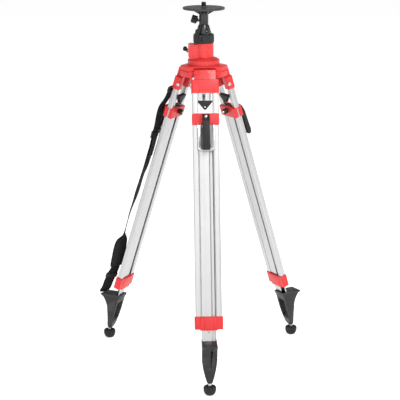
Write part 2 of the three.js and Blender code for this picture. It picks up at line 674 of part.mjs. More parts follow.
function rubberFoot() {
  const dome = [[0, 0], [7, 0]];
  const rings = 3;
  for (let i = 1; i <= rings; i++) {
    const angle = (i * Math.PI) / 2 / rings;
    dome.push([7 + 13 * Math.sin(angle), 21 * (1 - Math.cos(angle))]);
  }
  const top = [[FOOT_R - 1, 27], [FOOT_R - 4, 29.5], [8, 29.5], [7, 27.5], [5 + GAP, 27.5], [5 + GAP, 13], [0, 13]];
  return uprightUnderShoe(turned([...dome, ...top], 20));
}

// ---------------------------------------------------------------- the carrying strap

// a flat band through stations of [down, out, across, width, thickness, turn in degrees]
function band(stations) {
  const points = stations.map(([down, out, across]) => new THREE.Vector3(across, -out, -down));
  const corners = [];
  stations.forEach(([, , , width, thickness, turn], i) => {
    const before = points[Math.max(i - 1, 0)];
    const after = points[Math.min(i + 1, points.length - 1)];
    const along = after.clone().sub(before).normalize();
    const side = new THREE.Vector3(1, 0, 0).projectOnPlane(along).normalize();
    side.applyAxisAngle(along, THREE.MathUtils.degToRad(turn));
    const face = along.clone().cross(side);
    for (const [u, v] of [[-1, -1], [1, -1], [1, 1], [-1, 1]]) {
      corners.push(points[i].clone().addScaledVector(side, (u * width) / 2).addScaledVector(face, (v * thickness) / 2));
    }
  });
  const faces = [0, 2, 1, 0, 3, 2];
  for (let i = 0; i < stations.length - 1; i++) {
    for (let k = 0; k < 4; k++) {
      const [a, b] = [i * 4 + k, i * 4 + ((k + 1) % 4)];
      faces.push(a, b, b + 4, a, b + 4, a + 4);
    }
  }
  const end = (stations.length - 1) * 4;
  faces.push(end, end + 1, end + 2, end, end + 2, end + 3);
  return new THREE.BufferGeometry().setFromPoints(corners).setIndex(faces);
}

const WEB = [38, 2.4]; // webbing: width and thickness
const STRAP_ACROSS = 34.5; // the strap hangs beside the clamp lever

// webbing from the casting down to the pad
const STRAP_ROUTE = [
  [57, 15, 0], [77, 17, 0], [104, 21, 2], [133, 30.5, 5], [163, 31.5, 4], [198, 28.5, 2], [233, 27.5, 0], [269, 25.5, 4],
  [313, 25.5, 8], [354, 26, 0], [390, 29, -8], [439, 30, -14], [477, 31, -20], [524, 34, -26], [573, 33.5, -26],
  [610, 33.5, -18],
];

// padded sleeve: width and thickness grow from its pointed end
const PAD_ROUTE = [
  [613, 34, -8, 24, 6], [631, 36, 0, 46, 9], [660, 35, 4, 54, 11], [690, 32, 6, 54, 12], [712, 30, 8, 54, 11], [730, 29, 10, 50, 8],
];

// webbing from the pad to the shoe's tread
const TAIL_ROUTE = [
  [733, 29, 12], [749, 31.5, 14], [761, 38, 16], [794, 43, 16], [824, 46, 14], [840, 52, 10],
];

function strapUpper() {
  return band(STRAP_ROUTE.map(([down, out, turn]) => [down, out, STRAP_ACROSS, ...WEB, turn]));
}

function strapPad() {
  return band(PAD_ROUTE.map(([down, out, turn, width, thickness]) => [down, out, 32, width, thickness, turn]));
}

function strapLower() {
  return band(TAIL_ROUTE.map(([down, out, turn], i) => [down, out, 32 - 2.5 * i, ...WEB, turn]));
}

// ---------------------------------------------------------------- putting the legs together

for (const [side, azimuth] of Object.entries(LEG_AZIMUTHS)) {
  const leg = legFrame(azimuth);
  if (side === 'left') {
    add(leg, 'strap_upper', 'webbing', strapUpper());
    add(leg, 'strap_pad', 'webbing', strapPad());
    add(leg, 'strap_lower', 'webbing', strapLower());
  }
  add(leg, `leg_casting_${side}`, 'red', legCasting());
  add(leg, `hinge_pin_${side}`, 'steel', hingePin());
  add(leg, `rail_a_${side}`, 'aluminium', rail(-1));
  add(leg, `rail_b_${side}`, 'aluminium', rail(1));
  add(leg, `rail_stop_${side}`, 'black_plastic', railStop());
  add(leg, `clamp_outer_${side}`, 'red', clampOuter());
  add(leg, `clamp_inner_${side}`, 'red', clampInner());
  add(leg, `clamp_bolt_${side}`, 'steel', clampBolt());
  add(leg, `clamp_nut_${side}`, 'black_plastic', clampNut());
  add(leg, `clamp_lever_${side}`, 'black_plastic', clampLever());
  add(leg, `lower_bar_${side}`, 'aluminium', lowerBar());
  add(leg, `bottom_bracket_${side}`, 'red', bottomBracket());
  add(leg, `leg_shoe_${side}`, 'black_metal', legShoe());
  add(leg, `rubber_foot_${side}`, 'rubber', rubberFoot());
}

export default tripod;
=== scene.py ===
import json
import math

import bmesh
import bpy
from mathutils import Matrix, Vector


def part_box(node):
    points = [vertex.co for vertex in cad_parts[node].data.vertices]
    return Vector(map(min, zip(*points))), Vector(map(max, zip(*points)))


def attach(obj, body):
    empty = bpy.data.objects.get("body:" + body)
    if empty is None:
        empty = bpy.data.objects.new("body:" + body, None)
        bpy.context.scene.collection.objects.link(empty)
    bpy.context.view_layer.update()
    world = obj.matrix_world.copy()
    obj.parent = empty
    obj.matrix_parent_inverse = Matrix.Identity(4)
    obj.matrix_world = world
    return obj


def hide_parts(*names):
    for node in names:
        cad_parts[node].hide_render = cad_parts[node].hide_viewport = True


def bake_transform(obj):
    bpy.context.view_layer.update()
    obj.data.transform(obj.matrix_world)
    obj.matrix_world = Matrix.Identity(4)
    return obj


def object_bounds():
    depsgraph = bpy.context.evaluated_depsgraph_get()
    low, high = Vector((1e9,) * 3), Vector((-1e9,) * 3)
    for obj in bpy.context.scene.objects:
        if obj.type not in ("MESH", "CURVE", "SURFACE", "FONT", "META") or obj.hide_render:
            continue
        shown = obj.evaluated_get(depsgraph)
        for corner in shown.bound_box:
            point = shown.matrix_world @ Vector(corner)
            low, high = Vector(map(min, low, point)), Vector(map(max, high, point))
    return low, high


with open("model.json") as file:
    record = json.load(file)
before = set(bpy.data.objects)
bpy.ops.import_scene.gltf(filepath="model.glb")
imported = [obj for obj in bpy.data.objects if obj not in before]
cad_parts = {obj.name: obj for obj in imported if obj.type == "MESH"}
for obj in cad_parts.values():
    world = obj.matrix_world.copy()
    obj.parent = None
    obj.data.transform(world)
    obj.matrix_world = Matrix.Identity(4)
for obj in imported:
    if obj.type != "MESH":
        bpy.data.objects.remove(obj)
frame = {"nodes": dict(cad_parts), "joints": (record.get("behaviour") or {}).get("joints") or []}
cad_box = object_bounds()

# ---- the camera, the studio light and the floor -------------------------------------------------
# A long lens a little above the head, a large softbox behind it, and a smaller one high on the right.
# The floor is one pale disc that glows a little, and the sky is white round the horizon.

scene = bpy.context.scene
scene.view_settings.view_transform = "Standard"


def placed(name, data, location=(0, 0, 0)):
    item = bpy.data.objects.new(name, data)
    item.location = location
    scene.collection.objects.link(item)
    return item


lens = bpy.data.cameras.new("camera")
lens.lens = 125.03
lens.sensor_width = 36
camera = placed("camera", lens, (-0.2411, -4.3198, 1.6469))
camera.rotation_euler = (math.radians(75.84), 0, math.radians(-2.98))
scene.camera = camera


def softbox(name, location, size, watts, aim=(0, 0, 0.6)):
    lamp = bpy.data.lights.new(name, "AREA")
    lamp.shape = "RECTANGLE"
    lamp.size, lamp.size_y = size
    lamp.energy = watts
    box = placed(name, lamp, location)
    box.rotation_euler = (Vector(location) - Vector(aim)).to_track_quat("Z", "Y").to_euler()


softbox("key", (-0.5, -5.2, 3.0), (5.0, 3.0), 70)
softbox("high_key", (1.5, -2.9, 4.0), (1.6, 1.2), 115)
softbox("left_panel", (-4.2, -0.8, 2.4), (0.5, 2.6), 7)
softbox("right_panel", (4.0, -0.4, 2.2), (0.8, 2.4), 8)
softbox("top", (0.3, 1.0, 4.6), (3.0, 3.0), 26)

world = bpy.data.worlds.new("studio")
world.use_nodes = True
sky = world.node_tree
direction = sky.nodes.new("ShaderNodeTexCoord")
upward = sky.nodes.new("ShaderNodeSeparateXYZ")
fade = sky.nodes.new("ShaderNodeMapRange")  # white round the horizon, dimmer overhead
for name, value in {"From Min": 0.156, "From Max": 0.276, "To Min": 1, "To Max": 0.2}.items():
    fade.inputs[name].default_value = value
sky.links.new(direction.outputs["Generated"], upward.inputs[0])
sky.links.new(upward.outputs["Z"], fade.inputs["Value"])
sky.links.new(fade.outputs[0], sky.nodes["Background"].inputs["Strength"])
sky.nodes["Background"].inputs["Color"].default_value = (1, 1, 1, 1)
scene.world = world

floor_shape = bmesh.new()
bmesh.ops.create_circle(floor_shape, cap_ends=True, segments=96, radius=400)
floor_mesh = bpy.data.meshes.new("floor")
floor_shape.to_mesh(floor_mesh)
floor = placed("floor", floor_mesh, (0, 0, cad_box[0].z - 0.0004))
floor_paint = bpy.data.materials.new("floor_paint")
floor_paint.use_nodes = True
floor_shader = floor_paint.node_tree.nodes["Principled BSDF"]
floor_shader.inputs["Base Color"].default_value = (0.9, 0.9, 0.9, 1)
floor_shader.inputs["Roughness"].default_value = 0.9
floor_shader.inputs["Emission Color"].default_value = (1, 1, 1, 1)
floor_shader.inputs["Emission Strength"].default_value = 0.75
floor_mesh.materials.append(floor_paint)


# ---- the red castings of the head ---------------------------------------------------------------
# Base, housing and gearbox cover are die-cast aluminium in a smooth red coat.
# The base carries the three leg hinges, and the housing above it guides the column.

MM = 0.001


class Wire:
    """An output of a material's nodes that adds and multiplies as a number does."""

    def __init__(self, finish, socket):
        self.finish = finish
        self.socket = socket

    def maths(self, operation, *others):
        return self.finish.node("ShaderNodeMath", (self, *others), operation=operation)

    def __add__(self, other):
        return self.maths("ADD", other)

    def __mul__(self, other):
        return self.maths("MULTIPLY", other)

    __radd__ = __add__
    __rmul__ = __mul__

    def between(self, low, high):
        """0 below low, 1 above high, and a straight rise between them."""
        inputs = {"Value": self, "From Min": low, "From Max": high}
        return self.finish.node("ShaderNodeMapRange", inputs, clamp=True)


class Finish:
    """One material: plain values on its shader, and nodes for what changes over the surface."""

    def __init__(self, name, colour, **values):
        self.material = bpy.data.materials.new(name)
        self.material.use_nodes = True
        self.tree = self.material.node_tree
        self.shader = self.tree.nodes["Principled BSDF"]
        self.shader.inputs["Base Color"].default_value = (*colour, 1)
        for socket, value in values.items():
            self.shader.inputs[socket.replace("_", " ")].default_value = value

    def node(self, kind, inputs=(), output=0, **settings):
        node = self.tree.nodes.new(kind)
        for name, value in settings.items():
            setattr(node, name, value)
        pairs = inputs.items() if isinstance(inputs, dict) else enumerate(inputs)
        for key, value in pairs:
            if isinstance(value, Wire):
                self.tree.links.new(value.socket, node.inputs[key])
            else:
                node.inputs[key].default_value = value
        return Wire(self, node.outputs[output])

    def place(self, attribute, stretch=(1, 1, 1)):
        """Where a point is: on the piece's own attribute, or in the model's frame for a CAD node."""
        if attribute:
            point = self.node("ShaderNodeAttribute", output="Vector", attribute_name=attribute)
        else:
            point = self.node("ShaderNodeTexCoord", output="Object")
        return self.node("ShaderNodeMapping", {"Vector": point, "Scale": stretch})

    def noise(self, place, scale, detail=3, roughness=0.55):
        inputs = {"Vector": place, "Scale": scale, "Detail": detail, "Roughness": roughness}
        return self.node("ShaderNodeTexNoise", inputs)

    def edges(self, low=0.52, high=0.6):
        """1 on outer edges, where a coat wears first."""
        return self.node("ShaderNodeNewGeometry", output="Pointiness").between(low, high)

    def mixed(self, factor, first, second):
        colours = [c if isinstance(c, Wire) else (*c, 1) for c in (first, second)]
        inputs = {0: factor, 6: colours[0], 7: colours[1]}
        return self.node("ShaderNodeMix", inputs, output=2, data_type="RGBA")

    def bumped(self, height, depth, strength=1):
        inputs = {"Height": height, "Distance": depth, "Strength": strength}
        self.feed("Normal", self.node("ShaderNodeBump", inputs))

    def feed(self, socket, wire):
        self.tree.links.new(wire.socket, self.shader.inputs[socket])


def red_coat():
    finish = Finish("red_coat", (0.72, 0.016, 0.02), Coat_Roughness=0.1, Coat_Weight=0.1)
    place = finish.place("fit")
    cloud = finish.noise(place, 35)
    peel = finish.noise(place, 900, 2)
    dust = finish.noise(place, 160, 5).between(0.6, 0.75)
    wear = finish.edges(0.55, 0.68) * finish.noise(place, 420, 4).between(0.5, 0.62)
    painted = finish.mixed(cloud, (0.64, 0.011, 0.016), (0.76, 0.02, 0.022))
    dusty = finish.mixed(dust * 0.12, painted, (0.75, 0.24, 0.22))
    finish.feed("Base Color", finish.mixed(wear * 0.4, dusty, (0.55, 0.2, 0.18)))
    finish.feed("Roughness", 0.36 + cloud * 0.1 + dust * 0.12)
    finish.bumped(peel, 0.00006, 0.6)
    return finish.material


def black_casting(attribute="fit"):
    finish = Finish("black_casting", (0.016, 0.016, 0.017), Specular_IOR_Level=0.35)
    place = finish.place(attribute)
    cloud = finish.noise(place, 60)
    grain = finish.noise(place, 1500, 2)
    wear = finish.edges(0.53, 0.6) * finish.noise(place, 300, 4).between(0.42, 0.6)
    coat = finish.mixed(cloud, (0.011, 0.011, 0.012), (0.022, 0.022, 0.024))
    finish.feed("Base Color", finish.mixed(wear * 0.35, coat, (0.14, 0.14, 0.15)))
    finish.feed("Roughness", 0.40 + cloud * 0.12)
    finish.bumped(grain, 0.00012, 0.55)
    return finish.material


def steel(attribute="fit"):
    finish = Finish("steel", (0.6, 0.6, 0.61), Metallic=1)
    place = finish.place(attribute)
    cloud = finish.noise(place, 130, 4)
    finish.feed("Base Color", finish.mixed(cloud, (0.50, 0.50, 0.51), (0.70, 0.70, 0.70)))
    finish.feed("Roughness", 0.22 + cloud * 0.16)
    finish.bumped(finish.noise(place, 1400, 2), 0.00003, 0.5)
    return finish.material


RED, BLACK_CAST, STEEL = red_coat(), black_casting(), steel()

axis = Matrix.Translation((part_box("column_tube")[0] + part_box("column_tube")[1]) / 2)
axis.translation.z = 0  # the column axis, on the ground
on_axis = axis @ Matrix.Scale(MM, 4)


def mesh_of(shape, name="shape"):
    mesh = bpy.data.meshes.new(name)
    shape.to_mesh(mesh)
    shape.free()
    return mesh


def spun(profile, sides=96, closed=False):
    """A solid turned about Z from (radius, z) points that run up its outside."""
    shape = bmesh.new()
    rings = []
    for radius, z in profile:
        steps = sides if radius > 1e-6 else 1
        angles = [2 * math.pi * i / steps for i in range(steps)]
        rings.append([shape.verts.new((radius * math.cos(a), radius * math.sin(a), z)) for a in angles])
    for low, high in zip(rings, rings[1:] + rings[:1] if closed else rings[1:]):
        for i in range(sides):
            k = (i + 1) % sides
            corners = [low[i % len(low)], low[k % len(low)], high[k % len(high)], high[i % len(high)]]
            corners = list(dict.fromkeys(corners))
            if len(corners) > 2:
                shape.faces.new(corners)
    bmesh.ops.recalc_face_normals(shape, faces=shape.faces)
    return mesh_of(shape)


def pulled(outline, low, high, along="z"):
    """A flat outline pulled straight along an axis: (x, y) along z, (y, z) along x, (x, z) along y."""
    spots = {
        "z": lambda a, b, h: (a, b, h),
        "x": lambda a, b, h: (h, a, b),
        "y": lambda a, b, h: (a, h, b),
    }
    shape = bmesh.new()
    ends = [[shape.verts.new(spots[along](a, b, h)) for a, b in outline] for h in (low, high)]
    for end in ends:
        shape.faces.new(end)
    for i in range(len(outline)):
        k = (i + 1) % len(outline)
        shape.faces.new((ends[0][i], ends[0][k], ends[1][k], ends[1][i]))
    bmesh.ops.recalc_face_normals(shape, faces=shape.faces)
    return mesh_of(shape)


def arc(x, y, radius, start, end, steps):
    """Points round a centre, from one angle to another, in degrees."""
    angles = [math.radians(start + (end - start) * i / steps) for i in range(steps + 1)]
    return [(x + radius * math.cos(a), y + radius * math.sin(a)) for a in angles]


def rounded(width, height, radius, x=0, y=0, steps=5):
    """A rectangle with round corners."""
    outline = []
    for k, (sx, sy) in enumerate([(1, 1), (-1, 1), (-1, -1), (1, -1)]):
        corner = (x + sx * (width / 2 - radius), y + sy * (height / 2 - radius))
        outline += arc(*corner, radius, 90 * k, 90 * k + 90, steps)
    return outline


def rod(radius, low, high, along="z", x=0, y=0, sides=32):
    return pulled(arc(x, y, radius, 0, 360 * (sides - 1) / sides, sides - 1), low, high, along)


def result_of(item):
    """The mesh that an object's modifiers make; the object itself is removed."""
    made = bpy.data.meshes.new_from_object(item.evaluated_get(bpy.context.evaluated_depsgraph_get()))
    bpy.data.objects.remove(item)
    return made


def formed(mesh, joins=(), cuts=(), edge=0.8, rounds=3, angle=32, tidy=False):
    """A casting's mesh: pieces joined to it and cut from it, and its edges rounded."""
    item = placed("work", mesh)
    tools = []
    for operation, others in (("UNION", joins), ("DIFFERENCE", cuts)):
        for other in others:
            tools.append(placed("tool", other))
            step = item.modifiers.new("step", "BOOLEAN")
            step.operation, step.object, step.solver = operation, tools[-1], "EXACT"
    if tidy:
        flat = item.modifiers.new("flat", "DECIMATE")
        flat.decimate_type, flat.angle_limit = "DISSOLVE", math.radians(1.5)
    if edge:
        bevel = item.modifiers.new("edge", "BEVEL")
        bevel.width, bevel.segments, bevel.angle_limit = edge, rounds, math.radians(angle)
        bevel.limit_method, bevel.use_clamp_overlap = "ANGLE", True
    bpy.context.view_layer.update()
    made = result_of(item)
    for tool in tools:
        bpy.data.objects.remove(tool)
    return made


def cad_shape(node, place):
    """A CAD node's shape, welded, in millimetres in the given frame."""
    shape = bmesh.new()
    shape.from_mesh(frame["nodes"][node].data)
    shape.transform(place.inverted())
    bmesh.ops.remove_doubles(shape, verts=shape.verts, dist=0.01)
    return mesh_of(shape)


def all_in_one(*meshes):
    shape = bmesh.new()
    for mesh in meshes:
        shape.from_mesh(mesh)
    return mesh_of(shape)


def settle(mesh, name, place, finish, body, stands_for=(), smooth=38):
    """Makes a shape in millimetres a piece of the model, with its own coordinates kept as "fit"."""
    mesh = mesh.copy()
    fit = mesh.attributes.get("fit") or mesh.attributes.new("fit", "FLOAT_VECTOR", "POINT")
    fit.data.foreach_set("vector", [c * MM for v in mesh.vertices for c in v.co])
    mesh.transform(place)
    if finish:
        mesh.materials.clear()
        mesh.materials.append(finish)
    mesh.shade_smooth()
    mesh.set_sharp_from_angle(angle=math.radians(smooth))
    piece = placed(name, mesh)
    mesh.name = name
    if stands_for:
        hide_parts(*stands_for)
    if isinstance(body, str):
        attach(piece, body)
    return piece


def on_head(mesh, name, finish, body, slot, *stands_for, smooth=38):
    return settle(mesh, name, on_axis, finish, body, stands_for, smooth)


def height(node, end):
    """A CAD node's lowest (0) or highest (1) point, in millimetres."""
    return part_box(node)[end].z / MM


base = formed(cad_shape("head_base", on_axis), edge=1.1, tidy=True)
on_head(base, "head_base_cast", RED, "head", "red_paint", "head_base")

FLANGE_R = 51
TOWER_R = 31.7
COLUMN_R = 22.5
tower_foot = height("column_housing", 0)
tower_top = height("column_housing", 1)
flange_top = tower_foot + 20.7
FILLET = 5  # where the tower meets the flange
profile = [(0, tower_foot), (FLANGE_R, tower_foot), (FLANGE_R, flange_top - 6), (FLANGE_R - 9, flange_top)]
profile += [(FLANGE_R - 11, flange_top), (FLANGE_R - 12.5, flange_top + 1)]
for a in (0.2, 0.6, 1.0, 1.4):
    profile.append((TOWER_R + FILLET * (1 - math.sin(a)), flange_top + 1 + FILLET * (1 - math.cos(a))))
profile += [(TOWER_R, tower_top), (0, tower_top)]
boss = pulled(rounded(34, 46, 5, -31.5, tower_top - 26), -25, 25, "y")
boss_pad = pulled(rounded(22, 30, 4, -33.5, tower_top - 25), -26.2, 0, "y")
joints = {joint["name"]: joint for joint in frame["joints"]}
shaft_x, _, shaft_z = [c / MM for c in joints["crank_turn"]["pos_m"]]
bore = rod(COLUMN_R + 1, tower_foot - 1, tower_top + 1, sides=96)
seat = rod(COLUMN_R + 4, tower_top - 12, tower_top + 1, sides=96)
gear_space = rod(11, -7, 30, "y", shaft_x, shaft_z, 48)
housing = formed(spun(profile), [boss, boss_pad], [bore, seat, gear_space], edge=1)
on_head(housing, "column_housing_cast", RED, "head", "red_paint", "column_housing")

cover = formed(cad_shape("gearbox_cover", on_axis), edge=0.7, tidy=True)
on_head(cover, "gearbox_cover_cast", RED, "head", "red_paint", "gearbox_cover")


# ---- screws and bolt heads ----------------------------------------------------------------------
# Zinc-plated button heads with a hex socket hold the gearbox cover, the castings and the brackets.
# One node tree sets a head on each of a piece's points, facing the way that the point says.

def tree_with(name, inputs):
    """An empty Geometry Nodes tree with named inputs, its input node and its output node."""
    tree = bpy.data.node_groups.new(name, "GeometryNodeTree")
    tree.interface.new_socket("Geometry", in_out="INPUT", socket_type="NodeSocketGeometry")
    tree.interface.new_socket("Geometry", in_out="OUTPUT", socket_type="NodeSocketGeometry")
    for label, kind in inputs.items():
        tree.interface.new_socket(label, in_out="INPUT", socket_type=f"NodeSocket{kind}")
    return tree, tree.nodes.new("NodeGroupInput"), tree.nodes.new("NodeGroupOutput")


def wired(tree, kind, links, settings=()):
    """A node of a Geometry Nodes tree, with its settings made first and then its sockets."""
    node = tree.nodes.new(kind)
    for name, value in dict(settings).items():
        setattr(node, name, value)
    for key, value in links.items():
        if isinstance(value, bpy.types.NodeSocket):
            tree.links.new(value, node.inputs[key])
        else:
            node.inputs[key].default_value = value
    return node


def grown(tree, host, **values):
    """The mesh that a tree makes from a host mesh, with the tree's inputs set by their identifiers."""
    item = placed("host", host)
    modifier = item.modifiers.new("grow", "NODES")
    modifier.node_group = tree
    for socket in tree.interface.items_tree:
        if socket.in_out == "INPUT" and socket.name in values:
            modifier[socket.identifier] = values[socket.name]
    bpy.context.view_layer.update()
    return result_of(item)


def heads_tree():
    inputs = {"Head": "Object", "Scale": "Float", "Finish": "Material"}
    tree, given, out = tree_with("heads_on_points", inputs)
    head = wired(tree, "GeometryNodeObjectInfo", {"Object": given.outputs["Head"]})
    vector = {"data_type": "FLOAT_VECTOR"}
    facing = wired(tree, "GeometryNodeInputNamedAttribute", {"Name": "facing"}, vector)
    turn = wired(tree, "FunctionNodeAlignRotationToVector", {"Vector": facing.outputs[0]}, {"axis": "Z"})
    along = wired(tree, "GeometryNodeInputNamedAttribute", {"Name": "along"}, vector)
    links = {"Rotation": turn.outputs[0], "Vector": along.outputs[0]}
    turn = wired(tree, "FunctionNodeAlignRotationToVector", links, {"axis": "X", "pivot_axis": "Z"})
    links = {"Points": given.outputs["Geometry"], "Instance": head.outputs["Geometry"]}
    links.update({"Rotation": turn.outputs[0], "Scale": given.outputs["Scale"]})
    heads = wired(tree, "GeometryNodeInstanceOnPoints", links)
    whole = wired(tree, "GeometryNodeRealizeInstances", {"Geometry": heads.outputs[0]})
    links = {"Geometry": whole.outputs[0], "Material": given.outputs["Finish"]}
    dressed = wired(tree, "GeometryNodeSetMaterial", links)
    tree.links.new(dressed.outputs[0], out.inputs[0])
    return tree


HEADS = heads_tree()


def points_mesh(spots):
    """Loose points, each with the direction that it faces and the direction that it runs along."""
    mesh = bpy.data.meshes.new("points")
    mesh.from_pydata([spot[0] for spot in spots], [], [])
    for name, k in (("facing", 1), ("along", 2)):
        ways = mesh.attributes.new(name, "FLOAT_VECTOR", "POINT")
        ways.data.foreach_set("vector", [c for spot in spots for c in spot[k]])
    return mesh


def button_head():
    dome = spun([(0, -1), (5, -1), (5, 0.6), (4.6, 1.5), (3.6, 2.4), (2.2, 2.9), (0, 3)], 40)
    socket = pulled(arc(0, 0, 1.9, 0, 300, 5), 1.2, 4)
    return formed(dome, cuts=[socket], edge=0.25, rounds=2)


button = placed("button_head", button_head())


def screws(spots, finish, size=1.0):
    host = points_mesh([(spot, way, (0, 0, 0)) for spot, way in spots])
    return grown(HEADS, host, Head=button, Scale=size, Finish=finish)


cover_screws = [((-34 + x, 29, 1025 + z), (0, 1, 0)) for x in (-9.5, 9.5) for z in (-13, 13)]
on_head(screws(cover_screws, STEEL, 0.5), "cover_screws", None, "head", "steel")


# ---- the collar ring and its lever --------------------------------------------------------------
# A split clamp ring of black cast metal locks the column; fine ribs run round it for grip.
# Its over-centre lever is moulded plastic on a steel pin, at the front left.

def ring_tree():
    inputs = {"Rib": "Object", "Count": "Int", "Radius": "Float", "Start": "Float", "Share": "Float"}
    tree, given, out = tree_with("ribs_in_a_ring", {**inputs, "Finish": "Material"})
    line = wired(tree, "GeometryNodeMeshLine", {"Count": given.outputs["Count"]}, {"mode": "OFFSET"})
    index = wired(tree, "GeometryNodeInputIndex", {})
    step = wired(tree, "ShaderNodeMath", {0: given.outputs["Share"], 1: given.outputs["Count"]})
    step.operation = "DIVIDE"
    links = {0: index.outputs[0], 1: step.outputs[0], 2: given.outputs["Start"]}
    spread = wired(tree, "ShaderNodeMath", links)
    spread.operation = "MULTIPLY_ADD"
    turn = wired(tree, "ShaderNodeCombineXYZ", {"Z": spread.outputs[0]})
    out_to = wired(tree, "ShaderNodeCombineXYZ", {"X": given.outputs["Radius"]})
    links = {"Vector": out_to.outputs[0], "Angle": spread.outputs[0]}
    place = wired(tree, "ShaderNodeVectorRotate", links, {"rotation_type": "Z_AXIS"})
    links = {"Geometry": line.outputs[0], "Position": place.outputs[0]}
    spots = wired(tree, "GeometryNodeSetPosition", links)
    rib = wired(tree, "GeometryNodeObjectInfo", {"Object": given.outputs["Rib"]})
    links = {"Points": spots.outputs[0], "Instance": rib.outputs["Geometry"], "Rotation": turn.outputs[0]}
    ribs = wired(tree, "GeometryNodeInstanceOnPoints", links)
    whole = wired(tree, "GeometryNodeRealizeInstances", {"Geometry": ribs.outputs[0]})
    links = {"Geometry": whole.outputs[0], "Material": given.outputs["Finish"]}
    dressed = wired(tree, "GeometryNodeSetMaterial", links)
    tree.links.new(dressed.outputs[0], out.inputs[0])
    return tree


RIBS = ring_tree()


def ribs_round(rib, count, radius, finish, start=0.0, share=2 * math.pi):
    """Copies of a small rib round the Z axis, over a share of the turn."""
    host = bpy.data.meshes.new("host")
    pattern = placed("rib", rib)
    spread = {"Count": count, "Radius": radius, "Start": start, "Share": share}
    made = grown(RIBS, host, Rib=pattern, Finish=finish, **spread)
    bpy.data.objects.remove(pattern)
    return made


def black_plastic(attribute="fit"):
    finish = Finish("black_plastic", (0.014, 0.014, 0.015), Specular_IOR_Level=0.3)
    place = finish.place(attribute)
    cloud = finish.noise(place, 45)
    spark = finish.noise(place, 2200, 2)
    scuff = finish.noise(place, 240, 6, 0.7).between(0.62, 0.72)
    moulded = finish.mixed(cloud, (0.010, 0.010, 0.011), (0.019, 0.019, 0.021))
    finish.feed("Base Color", finish.mixed(scuff * 0.3, moulded, (0.07, 0.07, 0.075)))
    finish.feed("Roughness", 0.44 + cloud * 0.12 + scuff * 0.1)
    finish.bumped(spark, 0.00008, 0.6)
    return finish.material


PLASTIC = black_plastic()

ring = formed(cad_shape("collar_ring", on_axis), edge=0.6, tidy=True)
ring_low, ring_high = height("collar_ring", 0), height("collar_ring", 1)
rib = pulled(rounded(1.1, 1.3, 0.45, steps=2), ring_low + 4, ring_high - 4)
LEVER_SIDE = math.radians(-126)  # where the lever stands round the column
knurl = ribs_round(rib, 58, 32.6, BLACK_CAST, LEVER_SIDE + math.radians(32), math.radians(296))
ring.materials.clear()
on_head(all_in_one(ring, knurl), "collar_ring_cast", BLACK_CAST, "head", "black_casting", "collar_ring")

lever = formed(cad_shape("collar_lever", on_axis), edge=1.0, tidy=True)
on_head(lever, "collar_lever_moulded", PLASTIC, "collar_lever", "black_plastic", "collar_lever")


# ---- the column ---------------------------------------------------------------------------------
# A polished aluminium tube with a rack milled along its left side for the crank's pinion.
# Below it a plastic cap closes the tube; inside the housing an acetal bush guides it.

def aluminium(name, colour, roughness, lines=(900, 900, 5)):
    finish = Finish(name, colour, Metallic=1)
    drawn = finish.noise(finish.place("fit", lines), 1, 4, 0.7)
    cloud = finish.noise(finish.place("fit"), 18, 3)
    marks = finish.noise(finish.place("fit", (260, 260, 30)), 1, 5, 0.75).between(0.66, 0.72)
    light = tuple(min(1, c * 1.12) for c in colour)
    dark = tuple(c * 0.88 for c in colour)
    metal = finish.mixed(drawn * 0.6 + cloud * 0.4, dark, light)
    finish.feed("Base Color", finish.mixed(marks * 0.35, metal, tuple(c * 0.7 for c in colour)))
    finish.feed("Roughness", roughness + drawn * 0.12 + marks * 0.15)
    finish.bumped(drawn, 0.00004, 0.5)
    return finish.material


POLISHED = aluminium("polished_tube", (0.72, 0.72, 0.73), 0.12)
ANODISED = aluminium("anodised_rail", (0.55, 0.545, 0.55), 0.26)

TUBE_BORE = 18.5
PITCH = math.pi * 1.4  # of the rack teeth
RACK_X = -21
tube_low, tube_high = height("column_tube", 0), height("column_tube", 1)
tube = [(TUBE_BORE, tube_low), (COLUMN_R, tube_low), (COLUMN_R, tube_high), (TUBE_BORE, tube_high)]


def rack_space(z):
    tip, root = RACK_X - 2, RACK_X + 1.7
    outline = [(tip, z - 2), (root, z - 0.85), (root, z + 0.85), (tip, z + 2)]
    return pulled(outline, -5, 5, "y")


spaces = all_in_one(*[rack_space(shaft_z + i * PITCH) for i in range(-34, 3)])
tube = formed(spun(tube, closed=True), cuts=[spaces], edge=0)
on_head(tube, "column_tube_polished", POLISHED, "column", "column_aluminium", "column_tube")

cap_low = height("column_end_cap", 0)
cap = [(0, cap_low + 2), (9, cap_low + 2), (11, cap_low), (COLUMN_R - 1, cap_low)]
cap += [(COLUMN_R, cap_low + 1), (COLUMN_R, tube_low - 0.3)]
cap += [(TUBE_BORE - 0.3, tube_low - 0.3), (TUBE_BORE - 0.3, tube_low + 12)]
cap = formed(spun([*cap, (0, tube_low + 12)]), edge=0.3, rounds=2)
on_head(cap, "column_end_cap_moulded", PLASTIC, "column", "black_plastic", "column_end_cap")


def acetal():
    finish = Finish("acetal", (0.85, 0.84, 0.78), Roughness=0.45)
    cloud = finish.noise(finish.place(None), 80)
    finish.feed("Base Color", finish.mixed(cloud, (0.8, 0.79, 0.72), (0.9, 0.89, 0.83)))
    return finish.material


def dress(node, finish):
    """Gives a CAD node a better material."""
    slots = frame["nodes"][node].data.materials
    slots.clear()
    slots.append(finish)


dress("column_bush", acetal())
HIDDEN_STEEL = steel(None)
dress("pinion_shaft", HIDDEN_STEEL)


# ---- the column head, its plate and the stud ----------------------------------------------------
# A black casting: a cone over the collar, a fluted neck, and webs out to the round plate.
# The plate's stud is steel with a 5/8 inch thread, eleven turns to the inch.

head_low, head_high = ring_high + 0.3, height("column_head", 1)
plate_low, plate_top = height("head_plate", 0), height("head_plate", 1)


